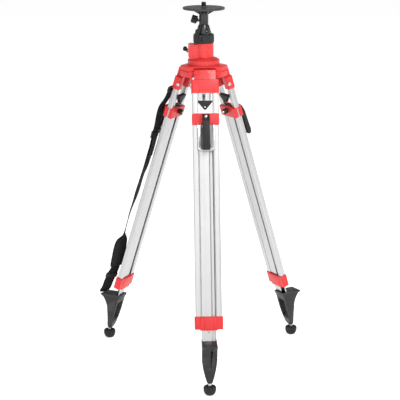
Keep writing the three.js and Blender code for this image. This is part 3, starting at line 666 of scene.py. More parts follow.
def gloss_black():
    finish = Finish("gloss_black", (0.012, 0.012, 0.013), Specular_IOR_Level=0.5, Coat_Weight=0.15)
    cloud = finish.noise(finish.place("fit"), 70, 4)
    finish.feed("Base Color", finish.mixed(cloud, (0.010, 0.010, 0.011), (0.020, 0.020, 0.022)))
    finish.feed("Roughness", 0.16 + cloud * 0.12)
    return finish.material


CONE_TOP = head_low + 29.7
NECK_R = 15.4
flare = head_high - 15.5
cone = [(0, head_low), (23.8, head_low), (24.5, head_low + 2), (23.6, head_low + 7)]
cone += [(17.2, CONE_TOP - 2.5), (16.4, CONE_TOP - 1), (NECK_R - 1.2, CONE_TOP)]
cone += [(NECK_R - 1.2, CONE_TOP + 1.5), (NECK_R - 0.4, CONE_TOP + 2.5), (NECK_R - 0.6, flare)]
cone += [(NECK_R + 1.5, flare + 4), (NECK_R + 5, flare + 8.5), (NECK_R + 12, flare + 12)]
cone += [(39, head_high - 2), (40, head_high), (0, head_high)]
socket = rod(COLUMN_R + 0.3, head_low - 1, tube_high + 0.3, sides=64)
KNOB_TILT = 17  # degrees that the knob's axis rises from level
knob_turn = Matrix.Rotation(math.radians(KNOB_TILT - 90), 4, "Y")
knob_turn = Matrix.Translation((-NECK_R, 0, head_low + 41.7)) @ knob_turn
screw_seat = rod(3.5, -8, 6)
screw_seat.transform(knob_turn)
notch = formed(pulled(rounded(5.2, 12, 2.5), 0, 8, "x"), edge=0)
notch.transform(Matrix.Rotation(math.radians(-62), 4, "Z") @ Matrix.Translation((18, 0, head_low + 9)))
neck_flutes = [rod(2.6, CONE_TOP + 5, flare + 1, x=17.1 * math.cos(a), y=17.1 * math.sin(a), sides=20)
               for a in (math.radians(36 * i + 18) for i in range(10) if i not in (4, 5))]
body = formed(spun(cone), cuts=[socket, screw_seat, notch, *neck_flutes], edge=0.5, rounds=2)
spigot = formed(rod(TUBE_BORE - 0.3, tube_high - 24, tube_high + 1, sides=64), edge=0)
web_top = head_high - 0.5
web = [(12, flare + 1), (15.6, flare), (36, head_high - 4), (37, web_top), (12, web_top)]
web = pulled(web, -1.8, 1.8, "y")
webs = ribs_round(formed(web, edge=0.7, rounds=2), 8, 0.0, BLACK_CAST, math.radians(22.5))
webs.materials.clear()
notch_way = Vector((math.cos(math.radians(-62)), math.sin(math.radians(-62)), 0))
set_screw = screws([(notch_way * 19.4 + Vector((0, 0, head_low + 9.5)), notch_way)], STEEL, 0.45)
body = all_in_one(body, webs, spigot)
on_head(body, "column_head_cast", gloss_black(), "column", "black_casting", "column_head")
on_head(set_screw, "head_set_screw", None, "column", "steel")

PLATE_R = 67
COLLAR_R = 10.5
rim = [(0, plate_low), (PLATE_R - 7, plate_low), (PLATE_R - 1, plate_low)]
rim += [(PLATE_R, plate_low + 1.6), (PLATE_R, plate_top - 1), (PLATE_R - 1, plate_top)]
rim += [(PLATE_R - 4.5, plate_top)]
rim += [(PLATE_R - 5, plate_top - 0.5), (PLATE_R - 6.4, plate_top - 0.5), (PLATE_R - 6.9, plate_top)]
rim += [(24.6, plate_top), (24.1, plate_top - 0.4), (22.9, plate_top - 0.4), (22.4, plate_top)]
rim += [(COLLAR_R + 0.3, plate_top), (COLLAR_R + 0.3, plate_top - 3), (0, plate_top - 3)]


def plate_coat():
    finish = Finish("plate_coat", (0.05, 0.05, 0.053), Specular_IOR_Level=0.4)
    place = finish.place("fit")
    cloud = finish.noise(place, 50)
    rings = finish.noise(place, 380, 5, 0.7).between(0.55, 0.75)
    worn = finish.mixed(rings * 0.5 + cloud * 0.3, (0.03, 0.03, 0.032), (0.09, 0.09, 0.094))
    finish.feed("Base Color", worn)
    finish.feed("Roughness", 0.38 + cloud * 0.12 + rings * 0.12)
    finish.bumped(finish.noise(place, 1300, 2), 0.0001, 0.5)
    return finish.material


plate = formed(spun(rim, 128), edge=0)
on_head(plate, "head_plate_turned", plate_coat(), "column", "black_casting", "head_plate")

STUD_R = 7.9
THREAD_PITCH = 25.4 / 11
stud_top = height("mounting_stud", 1)
stud_low = height("mounting_stud", 0)
seat_z = plate_top - 2.7
core = [(0, stud_low), (STUD_R - 1.5, stud_low), (STUD_R - 1.5, seat_z), (COLLAR_R, seat_z)]
core += [(COLLAR_R, plate_top + 1.8), (COLLAR_R - 0.8, plate_top + 2.6), (STUD_R - 1.3, plate_top + 2.8)]
core += [(STUD_R - 1.3, stud_top - 1), (STUD_R - 2.2, stud_top), (0, stud_top)]


def thread_tree():
    """A helix swept with a ridge section: the screw thread."""
    inputs = {"Turns": "Float", "Radius": "Float", "Length": "Float", "Ridge": "Float", "Finish": "Material"}
    tree, given, out = tree_with("screw_thread", inputs)
    links = {"Rotations": given.outputs["Turns"], "Start Radius": given.outputs["Radius"]}
    links.update({"End Radius": given.outputs["Radius"], "Height": given.outputs["Length"]})
    links["Resolution"] = 48
    helix = wired(tree, "GeometryNodeCurveSpiral", links)
    level = wired(tree, "GeometryNodeSetCurveNormal", {"Curve": helix.outputs[0]}, {"mode": "Z_UP"})
    links = {"Resolution": 4, "Radius": given.outputs["Ridge"]}
    section = wired(tree, "GeometryNodeCurvePrimitiveCircle", links)
    links = {"Curve": level.outputs[0], "Profile Curve": section.outputs[0], "Fill Caps": True}
    ridge = wired(tree, "GeometryNodeCurveToMesh", links)
    links = {"Geometry": ridge.outputs[0], "Material": given.outputs["Finish"]}
    dressed = wired(tree, "GeometryNodeSetMaterial", links)
    tree.links.new(dressed.outputs[0], out.inputs[0])
    return tree


thread_low = plate_top + 4.6
turns = (stud_top - 1.2 - thread_low) / THREAD_PITCH
dark_steel = Finish("dark_steel", (0.10, 0.10, 0.105), Metallic=1)
oiled = dark_steel.noise(dark_steel.place("fit"), 300, 4)
dark_steel.feed("Base Color", dark_steel.mixed(oiled, (0.06, 0.06, 0.063), (0.14, 0.14, 0.145)))
dark_steel.feed("Roughness", 0.26 + oiled * 0.18)
thread = grown(thread_tree(), bpy.data.meshes.new("host"), Turns=turns, Radius=STUD_R - 1.2,
               Length=turns * THREAD_PITCH, Ridge=1.15, Finish=dark_steel.material)
thread.transform(Matrix.Translation((0, 0, thread_low)))
core = formed(spun(core, 64), edge=0.3, rounds=2)
thread.materials.clear()
stud = all_in_one(core, thread)
on_head(stud, "mounting_stud_threaded", dark_steel.material, "column", "steel", "mounting_stud")


# ---- the lock knob ------------------------------------------------------------------------------
# A moulded knob with eight lobes on a steel screw; it locks the instrument's stud in the neck.

on_knob = on_axis @ knob_turn
lobes = []
for i in range(96):
    a = 2 * math.pi * i / 96
    r = 11.9 + 0.8 * math.cos(8 * a)
    lobes.append((r * math.cos(a), r * math.sin(a)))
grip = formed(pulled(lobes, 6, 24), edge=1.5, rounds=4, angle=60)
recess = formed(spun([(0, 21.8), (7, 21.8), (8.4, 22.4), (8.4, 24.3), (0, 24.3)], 48), edge=0)
grip = formed(grip, [spun([(0, 3), (6, 3), (6.4, 6.6), (0, 6.6)], 48)], [recess], edge=0)
settle(grip, "lock_knob_moulded", on_knob, PLASTIC, "lock_knob", ["lock_knob"])
neck_screw = formed(spun([(0, -7), (3.1, -7), (3.1, 3.4), (5, 3.6), (5, 5.4), (0, 5.4)], 40), edge=0.3)
settle(neck_screw, "lock_knob_screw", on_knob, dark_steel.material, "lock_knob")


# ---- the crank ----------------------------------------------------------------------------------
# A bent arm, chrome-plated, on the end of the pinion's shaft, with a grip that spins on its pin.

def chrome():
    finish = Finish("chrome", (0.84, 0.84, 0.85), Metallic=1)
    cloud = finish.noise(finish.place("fit"), 220, 4)
    finish.feed("Base Color", finish.mixed(cloud, (0.78, 0.78, 0.79), (0.9, 0.9, 0.9)))
    finish.feed("Roughness", 0.05 + cloud * 0.08)
    return finish.material


arm = formed(cad_shape("crank_arm", on_axis), edge=0.5, tidy=True)
on_head(arm, "crank_arm_plated", chrome(), "crank", "chrome", "crank_arm")
grip_low, grip_high = (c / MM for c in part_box("crank_grip"))
grip_x, grip_z = (grip_low.x + grip_high.x) / 2, (grip_low.z + grip_high.z) / 2
grip_start = grip_low.y - axis.translation.y / MM
eye_cap = spun([(0, -0.2), (7.6, -0.2), (7.9, 0.6), (7.0, 1.7), (4, 2.3), (0, 2.4)], 48)
eye_cap.transform(Matrix.Diagonal((1.05, 0.72, 1, 1)))
arm_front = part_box("crank_arm")[0].y / MM - axis.translation.y / MM
quarter = Matrix.Rotation(math.radians(90), 4, "X")
eye_cap.transform(Matrix.Translation((grip_x, arm_front, grip_z)) @ quarter)
on_head(eye_cap, "crank_eye_cap", PLASTIC, "crank", "black_plastic")
barrel = [(2.3, 0), (5.2, 0), (6.4, 1.2), (6.9, 4), (6.3, 8), (6.0, 11), (6.5, 15), (6.9, 18), (6.2, 20.2)]
barrel += [(4.8, 21), (2.3, 21)]
barrel = formed(spun(barrel, 64, closed=True), edge=0)
barrel.transform(Matrix.Translation((grip_x, grip_start, grip_z)) @ quarter.inverted())
on_head(barrel, "crank_grip_turned", PLASTIC, "crank_grip", "black_plastic", "crank_grip")


# ---- the legs: castings, rails and stops --------------------------------------------------------
# Each leg hangs from the head by a red casting whose sockets hold two hollow rails.
# The rails are drawn aluminium, anodised, with a groove down each side.

SIDES = ("front", "right", "left")


def leg_place(side):
    """The leg's own frame in millimetres: x across it, -y outwards and -z down along it."""
    across = -Vector(joints[f"leg_fold_{side}"]["axis"])
    up = -Vector(joints[f"leg_extend_{side}"]["axis"])
    inward = up.cross(across)
    middle = Vector(joints[f"leg_fold_{side}"]["pos_m"]) - (inward * 12 + up * 6) * MM
    turn = Matrix((across, inward, up)).transposed().to_4x4()
    return Matrix.Translation(middle) @ turn @ Matrix.Scale(MM, 4)


LEGS = {side: leg_place(side) for side in SIDES}


def on_legs(mesh, name, finish, body, slot, *nodes, smooth=38):
    """The same piece on all three legs, riding on each leg's own body."""
    for side, place in LEGS.items():
        stands_for = [f"{node}_{side}" for node in nodes]
        settle(mesh, f"{name}_{side}", place, finish, f"{body}_{side}", stands_for, smooth)


def leg_cast(node, edge=1.0, **more):
    return formed(cad_shape(f"{node}_front", LEGS["front"]), edge=edge, tidy=True, **more)


casting_slot = pulled(rounded(2.4, 10, 1.1, -19.4, -55.5), -60, -9.5, "y")
casting = leg_cast("leg_casting", 1.2, cuts=[casting_slot])
on_legs(casting, "leg_casting_cast", RED, "upper_leg", "red_paint", "leg_casting")
side_bolts = [((s * 43.5, 6, -43), (s, 0, 0)) for s in (-1, 1)]
on_legs(screws(side_bolts, STEEL, 1.25), "leg_casting_bolts", None, "upper_leg", "steel")

RAIL_T = 17.5
RAIL_W = 17.7
RAIL_X = 32.15
RAIL_TOP, RAIL_END = 24.3, 800


def rail_outline(side, inset):
    """Half a rail's section goes round its outer face, which has a groove down it."""
    w, t = RAIL_W / 2 - inset, RAIL_T / 2 - inset
    groove = [(w, -2.0), (w, 2.0)] if inset else [(w, -2.0), (w - 0.9, -1.2), (w - 0.9, 1.2), (w, 2.0)]
    radius = 0.9 if inset else 1.8
    outline = [*groove, *rounded(2 * w, 2 * t, radius, steps=3)]
    return [(side * (RAIL_X + x), y) for x, y in outline]


for label, side in (("a", -1), ("b", 1)):
    shell = pulled(rail_outline(side, 0), -RAIL_END, -RAIL_TOP)
    hollow = pulled(rail_outline(side, 2), -RAIL_END - 1, -RAIL_TOP + 1)
    rail = formed(shell, cuts=[hollow], edge=0)
    on_legs(rail, f"rail_{label}_drawn", ANODISED, "upper_leg", "aluminium", f"rail_{label}", smooth=31)

stop = leg_cast("rail_stop", 0.7)
on_legs(stop, "rail_stop_moulded", PLASTIC, "upper_leg", "black_plastic", "rail_stop")


# ---- the leg clamps -----------------------------------------------------------------------------
# Two red jaws close on the rails and the bar when the channel lever is pressed down the leg.
# A skirt plate hangs behind the lever, and a lobed nut inside the leg sets the grip.

on_legs(leg_cast("clamp_outer", 1.1), "clamp_outer_cast", RED, "lower_leg", "red_paint", "clamp_outer")
on_legs(leg_cast("clamp_inner", 1.1), "clamp_inner_cast", RED, "lower_leg", "red_paint", "clamp_inner")
on_legs(leg_cast("clamp_bolt", 0.4), "clamp_bolt_plated", STEEL, "lower_leg", "steel", "clamp_bolt")

LEVER_DOWN = 139
CLAMP_END = 163
SKIRT_END = 245
SKIRT_HALF = 26.8
skirt_face = [(SKIRT_HALF, -CLAMP_END - 0.4), (-SKIRT_HALF, -CLAMP_END - 0.4)]
skirt_face += arc(-SKIRT_HALF + 9, -SKIRT_END + 9, 9, 180, 270, 8)
skirt_face += arc(SKIRT_HALF - 9, -SKIRT_END + 9, 9, 270, 360, 8)
inner_face = [(x * 0.86, (z + CLAMP_END) * 0.93 - CLAMP_END + 1) for x, z in skirt_face]
skirt = pulled(skirt_face, -15.2, -13.6, "y")
panel = pulled(inner_face, -16, -14.7, "y")
skirt = formed(skirt, cuts=[panel], edge=0.3, rounds=2)
on_legs(skirt, "clamp_skirt", ANODISED, "lower_leg", "aluminium")

lever_slot = pulled(rounded(12, 16, 4, 0, -LEVER_DOWN), -60, -26, "y")
lever = leg_cast("clamp_lever", 1.0, cuts=[lever_slot])
on_legs(lever, "clamp_lever_channel", PLASTIC, "clamp_lever", "black_plastic", "clamp_lever")
tip_side = [(-31.5, -LEVER_DOWN - 86), (-47.2, -LEVER_DOWN - 86), (-47.6, -LEVER_DOWN - 90)]
tip_side += [(-45, -LEVER_DOWN - 103), (-42, -LEVER_DOWN - 106), (-35, -LEVER_DOWN - 106)]
tip_side += [(-31.5, -LEVER_DOWN - 102)]
tip = formed(pulled(tip_side, -12, 12, "x"), edge=2.6, rounds=4)
tip_ribs = []
for i in range(4):
    outline = rounded(15, 1.4, 0.6, 0, -LEVER_DOWN - 89 - 3.2 * i, 2)
    tip_ribs.append(pulled(outline, -48.3 + 0.75 * i, -40, "y"))
tip_ribs = all_in_one(*tip_ribs)
on_legs(all_in_one(tip, tip_ribs), "clamp_lever_tip", PLASTIC, "clamp_lever", "black_plastic")

nut_outline = []
for i in range(72):
    a = 2 * math.pi * i / 72
    r = 8.5 + 0.6 * math.cos(6 * a)
    nut_outline.append((r * math.cos(a), r * math.sin(a)))
nut = formed(pulled(nut_outline, 17, 30), cuts=[rod(4.3, 16, 31)], edge=1.1, rounds=3, angle=60)
nut.transform(Matrix.Translation((0, 0, -LEVER_DOWN)) @ Matrix.Rotation(math.radians(-90), 4, "X"))
on_legs(nut, "clamp_nut_lobed", PLASTIC, "clamp_nut", "black_plastic", "clamp_nut")


# ---- the lower bar, the bracket and the shoe ----------------------------------------------------
# The bar slides between the rails through a red bracket, and ends in a cast shoe with a tread.
# A steel point comes out of the shoe and carries a ribbed rubber foot.

BAR_W = 46
BAR_T = 14.5
BAR_TOP, BAR_END = 128, 856


def bar_outline():
    """The bar's face has two shallow grooves down it, at thirds of its width."""
    w, t = (BAR_W - 0.3) / 2, BAR_T / 2
    edge = []
    for x in (-8, 8):
        edge += [(x - 0.6, t), (x - 0.4, t - 0.12), (x + 0.4, t - 0.12), (x + 0.6, t)]
    corners = arc(w - 2, t - 2, 2, 90, 0, 4)
    half = [*edge, *corners]
    return [*half, *[(-x, -y) for x, y in half]]


bar = pulled(bar_outline(), -BAR_END, -BAR_TOP)
core_hole = pulled(rounded(BAR_W - 5, BAR_T - 4.4, 1), -BAR_END - 1, -BAR_TOP + 1)
bolt_hole = rod(4.3, -20, 20, "y", 0, -LEVER_DOWN)
bar = formed(bar, cuts=[core_hole, bolt_hole], edge=0)
on_legs(bar, "lower_bar_drawn", ANODISED, "lower_leg", "aluminium", "lower_bar", smooth=28)

BRACKET_TOP, BRACKET_END = 763, 804
bracket = cad_shape("bottom_bracket_front", LEGS["front"])
facets = [pulled([(x - 0.8, -13.4), (x, -12.3), (x + 0.8, -13.4)], -BRACKET_END - 5, -BRACKET_TOP, "z")
          for x in (-14.5, 14.5)]
bracket = formed(bracket, cuts=facets, edge=1.0, tidy=True)
on_legs(bracket, "bottom_bracket_cast", RED, "upper_leg", "red_paint", "bottom_bracket")
bracket_screw = [((0, -8.2, -BRACKET_END - 5), (0, -1, -0.2))]
on_legs(screws(bracket_screw, STEEL, 0.95), "bottom_bracket_screw", None, "upper_leg", "steel")

shoe = cad_shape("leg_shoe_front", LEGS["front"])
pocket = pulled([(2.5, -868), (9.5, -868), (8.6, -884), (4.6, -928), (3.2, -930)], -40, -10, "y")
rivet_hole = rod(2.1, -60, 0, "y", 5.5, -862.5)
shoe = formed(shoe, cuts=[pocket, rivet_hole], edge=1.2, tidy=True)
on_legs(shoe, "leg_shoe_cast", BLACK_CAST, "lower_leg", "black_casting", "leg_shoe")

FOOT_R = 20
front_foot = (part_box("rubber_foot_front")[0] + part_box("rubber_foot_front")[1]) / 2
foot_reach = (axis.translation.y - front_foot.y) / MM


def under_leg(mesh):
    """A foot's part stands upright: its place in the leg's frame, from its place in the model."""
    upright = axis @ Matrix.Translation((0, -foot_reach * MM, 0)) @ Matrix.Scale(MM, 4)
    mesh.transform(LEGS["front"].inverted() @ upright)
    return mesh


point = under_leg(formed(spun([(0, 13.5), (4, 13.5), (5.3, 18), (5.3, 38), (0, 38)], 48), edge=0.3))
on_legs(point, "foot_point_steel", STEEL, "lower_leg", "steel")


def rubber():
    finish = Finish("rubber", (0.014, 0.014, 0.015), Specular_IOR_Level=0.25)
    place = finish.place("fit")
    dust = finish.noise(place, 90, 6, 0.7).between(0.45, 0.7)
    worn = finish.edges(0.51, 0.58)
    dusty = finish.mixed(dust * 0.35 + worn * 0.3, (0.010, 0.010, 0.011), (0.075, 0.072, 0.07))
    finish.feed("Base Color", dusty)
    finish.feed("Roughness", 0.62 + dust * 0.25)
    finish.bumped(finish.noise(place, 900, 4), 0.00015, 0.6)
    return finish.material


RUBBER = rubber()
FLAT_R = 7  # of the flat under the foot
dome = [(0, 0), (FLAT_R, 0)]
for a in (math.pi / 2 * i / 10 for i in range(1, 11)):
    dome.append((FLAT_R + (FOOT_R - FLAT_R) * math.sin(a), 21 * (1 - math.cos(a))))
dome += [(FOOT_R, 24), (FOOT_R - 0.6, 26.6), (FOOT_R - 2.2, 28.4), (FOOT_R - 4.5, 29.5)]
dome += [(9, 29.5), (7.5, 28)]
dome += [(5.6, 27.5), (5.6, 13), (0, 13)]
foot = spun(dome, 72)
tread = [(15.2, 7.2), (18.4, 12.5), (FOOT_R, 19.5), (FOOT_R, 23.5), (18.0, 23.5), (13.5, 9)]
tread = pulled(tread, -1.1, 1.1, "y")
treads = ribs_round(formed(tread, edge=0.5, rounds=2), 20, 0.0, RUBBER)
grip_rib = pulled(rounded(7, 1.6, 0.7, 13.2, 0, 2), 28.5, 30.0)
top_ribs = ribs_round(grip_rib, 16, 0.0, RUBBER)
for part in (treads, top_ribs):
    part.materials.clear()
foot = under_leg(all_in_one(foot, treads, top_ribs))
on_legs(foot, "rubber_foot_moulded", RUBBER, "lower_leg", "rubber", "rubber_foot")

for side in SIDES:
    dress(f"hinge_pin_{side}", HIDDEN_STEEL)


# ---- the carrying strap -------------------------------------------------------------------------
# Black webbing hangs down the left leg from a loop on the casting, through an adjuster, to the pad.
# Its lower end hooks over the tread of the shoe; the upper part is baked where it lies, on neither leg body.

# each station is down the leg, out from it and turned in degrees; the pad's add its width and thickness
STRAP_ROUTE = [
    (57, 15, 0), (77, 17, 0), (104, 21, 2), (133, 30.5, 3), (163, 31.5, 2), (198, 28.5, 0),
    (233, 27.5, -1), (269, 25.5, -3), (313, 25.5, -3), (354, 26, -5), (390, 29, -11), (439, 30, -9),
    (477, 31, -13), (524, 34, -20), (573, 33.5, -26), (610, 33.5, -18), (628, 34.5, -6),
]
PAD_ROUTE = [
    (613, 34, -8, 24, 6), (631, 36, 12, 48, 9), (660, 35, 18, 54, 11), (690, 32, 20, 54, 12),
    (712, 30, 20, 54, 11), (730, 29, 18, 52, 8),
]
TAIL_ROUTE = [
    (722, 29.5, 16), (740, 31.5, 21), (757, 35.5, 26), (776, 39.5, 28), (800, 43.5, 28),
    (824, 46.5, 26), (840, 52, 24),
]
STRAP_ACROSS = 34.5  # the strap hangs beside the clamp lever
PAD_ACROSS = 32
WEB_W, WEB_T = 38, 2.4


def flowing(stations, steps=5):
    """Stations of numbers with smooth ones set between them."""
    run = []
    last = len(stations) - 1
    for i in range(last):
        a, b, c, d = (stations[min(max(k, 0), last)] for k in (i - 1, i, i + 1, i + 2))
        for t in (k / steps for k in range(steps)):
            run.append(tuple(
                q + 0.5 * t * (r - p + t * (2 * p - 5 * q + 4 * r - s + t * (3 * (q - r) + s - p)))
                for p, q, r, s in zip(a, b, c, d)
            ))
    return [*run, stations[last]]


def frames_of(run):
    """For stations of (down, out, across, width, thickness, turn): place, along, side, face and length."""
    spots = [Vector((across, -out, -down)) for down, out, across, *_ in run]
    made, length = [], 0
    for i, spot in enumerate(spots):
        along = (spots[min(i + 1, len(run) - 1)] - spots[max(i - 1, 0)]).normalized()
        side = (Vector((1, 0, 0)) - along * along.x).normalized()
        side = Matrix.Rotation(math.radians(run[i][5]), 3, along) @ side
        length += (spot - spots[max(i - 1, 0)]).length
        made.append((spot, along, side, along.cross(side), length))
    return made


def lofted(run, section):
    """A closed band with the same section at every station; its weave coordinates run along it."""
    shape = bmesh.new()
    weave = shape.verts.layers.float_vector.new("weave")
    rings = []
    for (spot, _, side, face, length), (_, _, _, width, thick, _) in zip(frames_of(run), run):
        ring = []
        for u, v in section:
            ring.append(shape.verts.new(spot + side * (u * width / 2) + face * (v * thick / 2)))
            ring[-1][weave] = (u * width / 2 * MM, length * MM, v * MM)
        rings.append(ring)
    for low, high in zip(rings, rings[1:]):
        for i in range(len(section)):
            k = (i + 1) % len(section)
            shape.faces.new((low[i], low[k], high[k], high[i]))
    shape.faces.new(rings[0])
    shape.faces.new(rings[-1])
    bmesh.ops.recalc_face_normals(shape, faces=shape.faces)
    return mesh_of(shape)


def webbing():
    finish = Finish("webbing", (0.008, 0.008, 0.009), Specular_IOR_Level=0.2)
    place = finish.place("weave")
    across = finish.node("ShaderNodeSeparateXYZ", {"Vector": place}, 0)
    along = finish.node("ShaderNodeSeparateXYZ", {"Vector": place}, 1)
    cord = (across * (2 * math.pi / 0.0024)).maths("SINE")
    pick = (along * (2 * math.pi / 0.0018) + cord * 1.2).maths("SINE")
    weave = cord * 0.5 + pick * 0.5
    lint = finish.noise(place, 500, 5, 0.7).between(0.6, 0.78)
    yarn = finish.mixed(weave.between(-0.8, 0.9), (0.004, 0.004, 0.0045), (0.013, 0.013, 0.014))
    finish.feed("Base Color", finish.mixed(lint * 0.25, yarn, (0.06, 0.06, 0.062)))
    finish.feed("Roughness", 0.72 + lint * 0.15)
    finish.bumped(weave, 0.00035, 0.7)
    return finish.material


def thread_finish():
    finish = Finish("thread", (0.05, 0.05, 0.052), Roughness=0.6)
    twist = finish.noise(finish.place("fit"), 2500, 3)
    finish.feed("Base Color", finish.mixed(twist, (0.03, 0.03, 0.032), (0.09, 0.09, 0.094)))
    return finish.material


WEBBING, THREAD = webbing(), thread_finish()
LEFT = LEGS["left"]
selvedge = [(-1, 0), (-0.985, -0.6), (-0.95, -0.95), *[(u / 10, -1) for u in range(-9, 10, 2)]]
selvedge += [(0.95, -0.95), (0.985, -0.6)]
selvedge += [(-u, -v) for u, v in selvedge]


def web_run(route, across=STRAP_ACROSS, drift=0.0):
    """Webbing along a route; it drifts across the leg from one station to the next."""
    stations = []
    for i, (down, out, turn) in enumerate(route):
        stations.append((down, out, across - drift * i, WEB_W, WEB_T, turn))
    return flowing(stations)


def strap_piece(mesh, name, finish, body, slot, *nodes, smooth=40):
    return settle(mesh, name, LEFT, finish, body, nodes, smooth)


run = web_run(STRAP_ROUTE)
upper = lofted(run, selvedge)
upper = strap_piece(upper, "strap_upper_webbing", WEBBING, None, "webbing", "strap_upper")
stay_from = LEFT @ Vector((STRAP_ACROSS, -26, -330))
stay_to = LEFT @ Vector((STRAP_ACROSS, -33.5, -605))
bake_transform(upper)

loose = [(226, 24.2, -2), (250, 21.5, -7), (280, 20.0, -9), (313, 20.5, -8)]
loose = lofted(web_run(loose, 37), selvedge)
strap_piece(loose, "strap_loose_end", WEBBING, "upper_leg_left", "webbing")


def buckle(station, width, depth, thick, bars):
    """A moulded frame round the webbing: windows cut in a rounded plate."""
    pitch = (depth - 5) / (bars - 1)
    windows = []
    for i in range(bars - 1):
        middle = -depth / 2 + 2.5 + pitch * (i + 0.5)
        windows.append(pulled(rounded(WEB_W + 1, pitch - 3.4, 1, 0, middle), -9, 9))
    made = pulled(rounded(width, depth, 3), -thick / 2, thick / 2)
    made = formed(made, cuts=windows, edge=0.8, rounds=3)
    spot, along, side, face, _ = station
    made.transform(Matrix.Translation(spot) @ Matrix((side, -along, face)).transposed().to_4x4())
    return made


def nearest(stations, down):
    """The station that is nearest to a distance down the leg."""
    return min(stations, key=lambda station: abs(station[0].z + down))


places = frames_of(run)
adjuster = buckle(nearest(places, 232), 45, 25, 5.4, 3)
strap_piece(adjuster, "strap_adjuster", PLASTIC, "upper_leg_left", "black_plastic")
top_loop = buckle(nearest(places, 66), 44, 17, 5.0, 2)
strap_piece(top_loop, "strap_top_loop", PLASTIC, "upper_leg_left", "black_plastic")

lower_run = web_run(TAIL_ROUTE, drift=2.5)
lower_web = lofted(lower_run, selvedge)
strap_piece(lower_web, "strap_lower_webbing", WEBBING, "lower_leg_left", "webbing", "strap_lower")
low_places = frames_of(lower_run)
keeper_hole = pulled(rounded(38.6, 3.4, 0.8), -9, 9)
keeper = formed(pulled(rounded(42, 7.5, 1.4), -8, 8), cuts=[keeper_hole], edge=0.5)
spot, along, side, face, _ = nearest(low_places, 772)
keeper.transform(Matrix.Translation(spot) @ Matrix((side, face, -along)).transposed().to_4x4())
strap_piece(keeper, "strap_keeper", PLASTIC, "lower_leg_left", "black_plastic")
hook_side = [(-4.5, 6), (-4.5, -5), (-2, -8), (2.5, -8), (4.5, -5.5)]
hook_side += [(4.5, -2), (2.2, -2), (2.2, -4.6), (-1.6, -4.6), (-2, 6)]
hook = formed(pulled(hook_side, -15, 15, "x"), edge=0.7, rounds=3)
spot, along, side, face, _ = low_places[-1]
hook.transform(Matrix.Translation(spot) @ Matrix((side, -face, -along)).transposed().to_4x4())
strap_piece(hook, "strap_hook", PLASTIC, "lower_leg_left", "black_plastic")
hook_rivet = [(spot + face * 3.0 - along * 3, face)]
strap_piece(screws(hook_rivet, STEEL, 0.55), "strap_hook_rivet", None, "lower_leg_left", "steel")


# ---- the shoulder pad ---------------------------------------------------------------------------
# A foam pad in a black fabric sleeve, pointed at its top, bound along its edge and stitched.
# The sleeve is a closed shell that cloth simulation swells between its sewn edges.

def pad_shell(run, columns=22, rim=0.18, crown=0.62):
    """A grid closed round the pad, with a group that holds its sewn rim."""
    section = []
    for k in range(columns + 1):
        u = -1 + 2 * k / columns
        section.append((u, -(rim + (crown - rim) * (1 - abs(u) ** 3.0))))
    section += [(u, -v) for u, v in reversed(section)]
    mesh = lofted(run, section)
    item = placed("pad_shell", mesh)
    group = item.vertex_groups.new(name="sewn")
    across = len(section)
    rows = len(run)
    for row in range(rows):
        for k, (u, _) in enumerate(section):
            if abs(u) > 0.86 or row < 2 or row > rows - 3:
                group.add([row * across + k], 1.0, "REPLACE")
    return item


def swollen(item, cap):
    """Cloth under pressure for twenty frames; no point moves further than the cap."""
    start = [v.co.copy() for v in item.data.vertices]
    cloth = item.modifiers.new("foam", "CLOTH")
    cloth.settings.quality = 6
    cloth.settings.mass = 0.3
    cloth.settings.use_pressure = True
    cloth.settings.uniform_pressure_force = 4
    cloth.settings.vertex_group_mass = "sewn"
    cloth.settings.effector_weights.gravity = 0
    for moment in range(1, 21):
        scene.frame_set(moment)
    made = result_of(item)
    scene.frame_set(1)
    for vertex, origin in zip(made.vertices, start):
        move = vertex.co - origin
        if move.length > cap:
            vertex.co = origin + move.normalized() * cap
    return made


pad_run = [(down, out, PAD_ACROSS, width, thick, turn) for down, out, turn, width, thick in PAD_ROUTE]
pad_run = flowing(pad_run, 9)
item = pad_shell(pad_run)
item.data.transform(Matrix.Scale(MM, 4))
pad = swollen(item, 0.0028)
pad.transform(Matrix.Scale(1 / MM, 4))
item = placed("pad_smooth", pad)
smoother = item.modifiers.new("smooth", "SUBSURF")
smoother.levels = smoother.render_levels = 1
bpy.context.view_layer.update()
pad = result_of(item)


def sleeve():
    finish = Finish("sleeve_fabric", (0.010, 0.010, 0.011), Specular_IOR_Level=0.25)
    place = finish.place("weave")
    across = finish.node("ShaderNodeSeparateXYZ", {"Vector": place}, 0)
    along = finish.node("ShaderNodeSeparateXYZ", {"Vector": place}, 1)
    warp = (across * (2 * math.pi / 0.0009)).maths("SINE")
    weft = (along * (2 * math.pi / 0.0009)).maths("SINE")
    cloth = warp * weft
    crease = finish.noise(place, 60, 5, 0.6)
    yarn = finish.mixed(cloth.between(-1, 1), (0.006, 0.006, 0.0065), (0.016, 0.016, 0.017))
    finish.feed("Base Color", finish.mixed(crease.between(0.5, 0.8) * 0.3, yarn, (0.03, 0.03, 0.032)))
    finish.feed("Roughness", 0.6 + crease * 0.2)
    finish.bumped(cloth * 0.15 + crease, 0.0006, 0.6)
    return finish.material


pad = strap_piece(pad, "strap_pad_sleeve", sleeve(), "lower_leg_left", "webbing", "strap_pad", smooth=60)

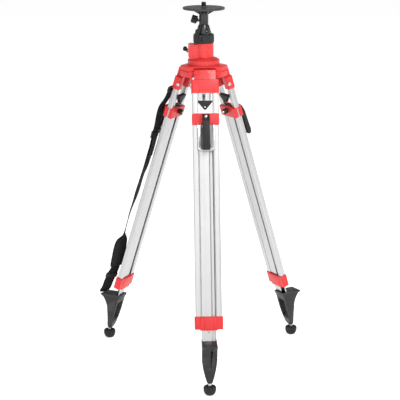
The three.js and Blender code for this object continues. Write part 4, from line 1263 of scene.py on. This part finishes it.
pad_places = frames_of(pad_run)
left_edge = [(p[0] - p[2] * (s[3] / 2 - 0.6), p) for p, s in zip(pad_places, pad_run)]
right_edge = [(p[0] + p[2] * (s[3] / 2 - 0.6), p) for p, s in zip(pad_places, pad_run)]


def binding_round(edge_points):
    """A folded tape with a round section along one edge of the pad."""
    shape = bmesh.new()
    weave = shape.verts.layers.float_vector.new("weave")
    rings = []
    for centre, (_, along, side, face, length) in edge_points:
        ring = []
        for a in (2 * math.pi * i / 12 for i in range(12)):
            round_it = side * (2.0 * math.cos(a)) + face * (2.3 * math.sin(a))
            ring.append(shape.verts.new(centre + round_it))
            ring[-1][weave] = (a * 2 * MM, length * MM, 0)
        rings.append(ring)
    for low, high in zip(rings, rings[1:]):
        for i in range(12):
            k = (i + 1) % 12
            shape.faces.new((low[i], low[k], high[k], high[i]))
    shape.faces.new(rings[0])
    shape.faces.new(rings[-1])
    bmesh.ops.recalc_face_normals(shape, faces=shape.faces)
    return mesh_of(shape)


bindings = all_in_one(binding_round(left_edge), binding_round(right_edge))
strap_piece(bindings, "strap_pad_binding", WEBBING, "lower_leg_left", "webbing")

stitch = placed("stitch", formed(pulled(rounded(2.3, 0.7, 0.3, steps=2), 0, 0.5), edge=0.15, rounds=1))
seams = []
for low, high, station in zip(pad_places, pad_places[1:], pad_run):
    for edge in (-1, 1):
        for share in (0.25, 0.75):
            centre = low[0].lerp(high[0], share) + low[2] * edge * (station[3] / 2 - 4.6)
            seams.append((centre + low[3] * (station[4] / 2 * 0.42), low[3], low[1]))
for stations, down in ((places, 611), (low_places, 737)):
    place = nearest(stations, down)
    for row in (-4, 4):
        for k in range(-5, 6):
            centre = place[0] + place[2] * (k * 3.1) + place[1] * row + place[3] * (WEB_T / 2)
            seams.append((centre, place[3], place[2]))
stitches = grown(HEADS, points_mesh(seams), Head=stitch, Scale=1.0, Finish=THREAD)
strap_piece(stitches, "strap_stitches", None, "lower_leg_left", "webbing")

for helper in (button, stitch):
    bpy.data.objects.remove(helper)
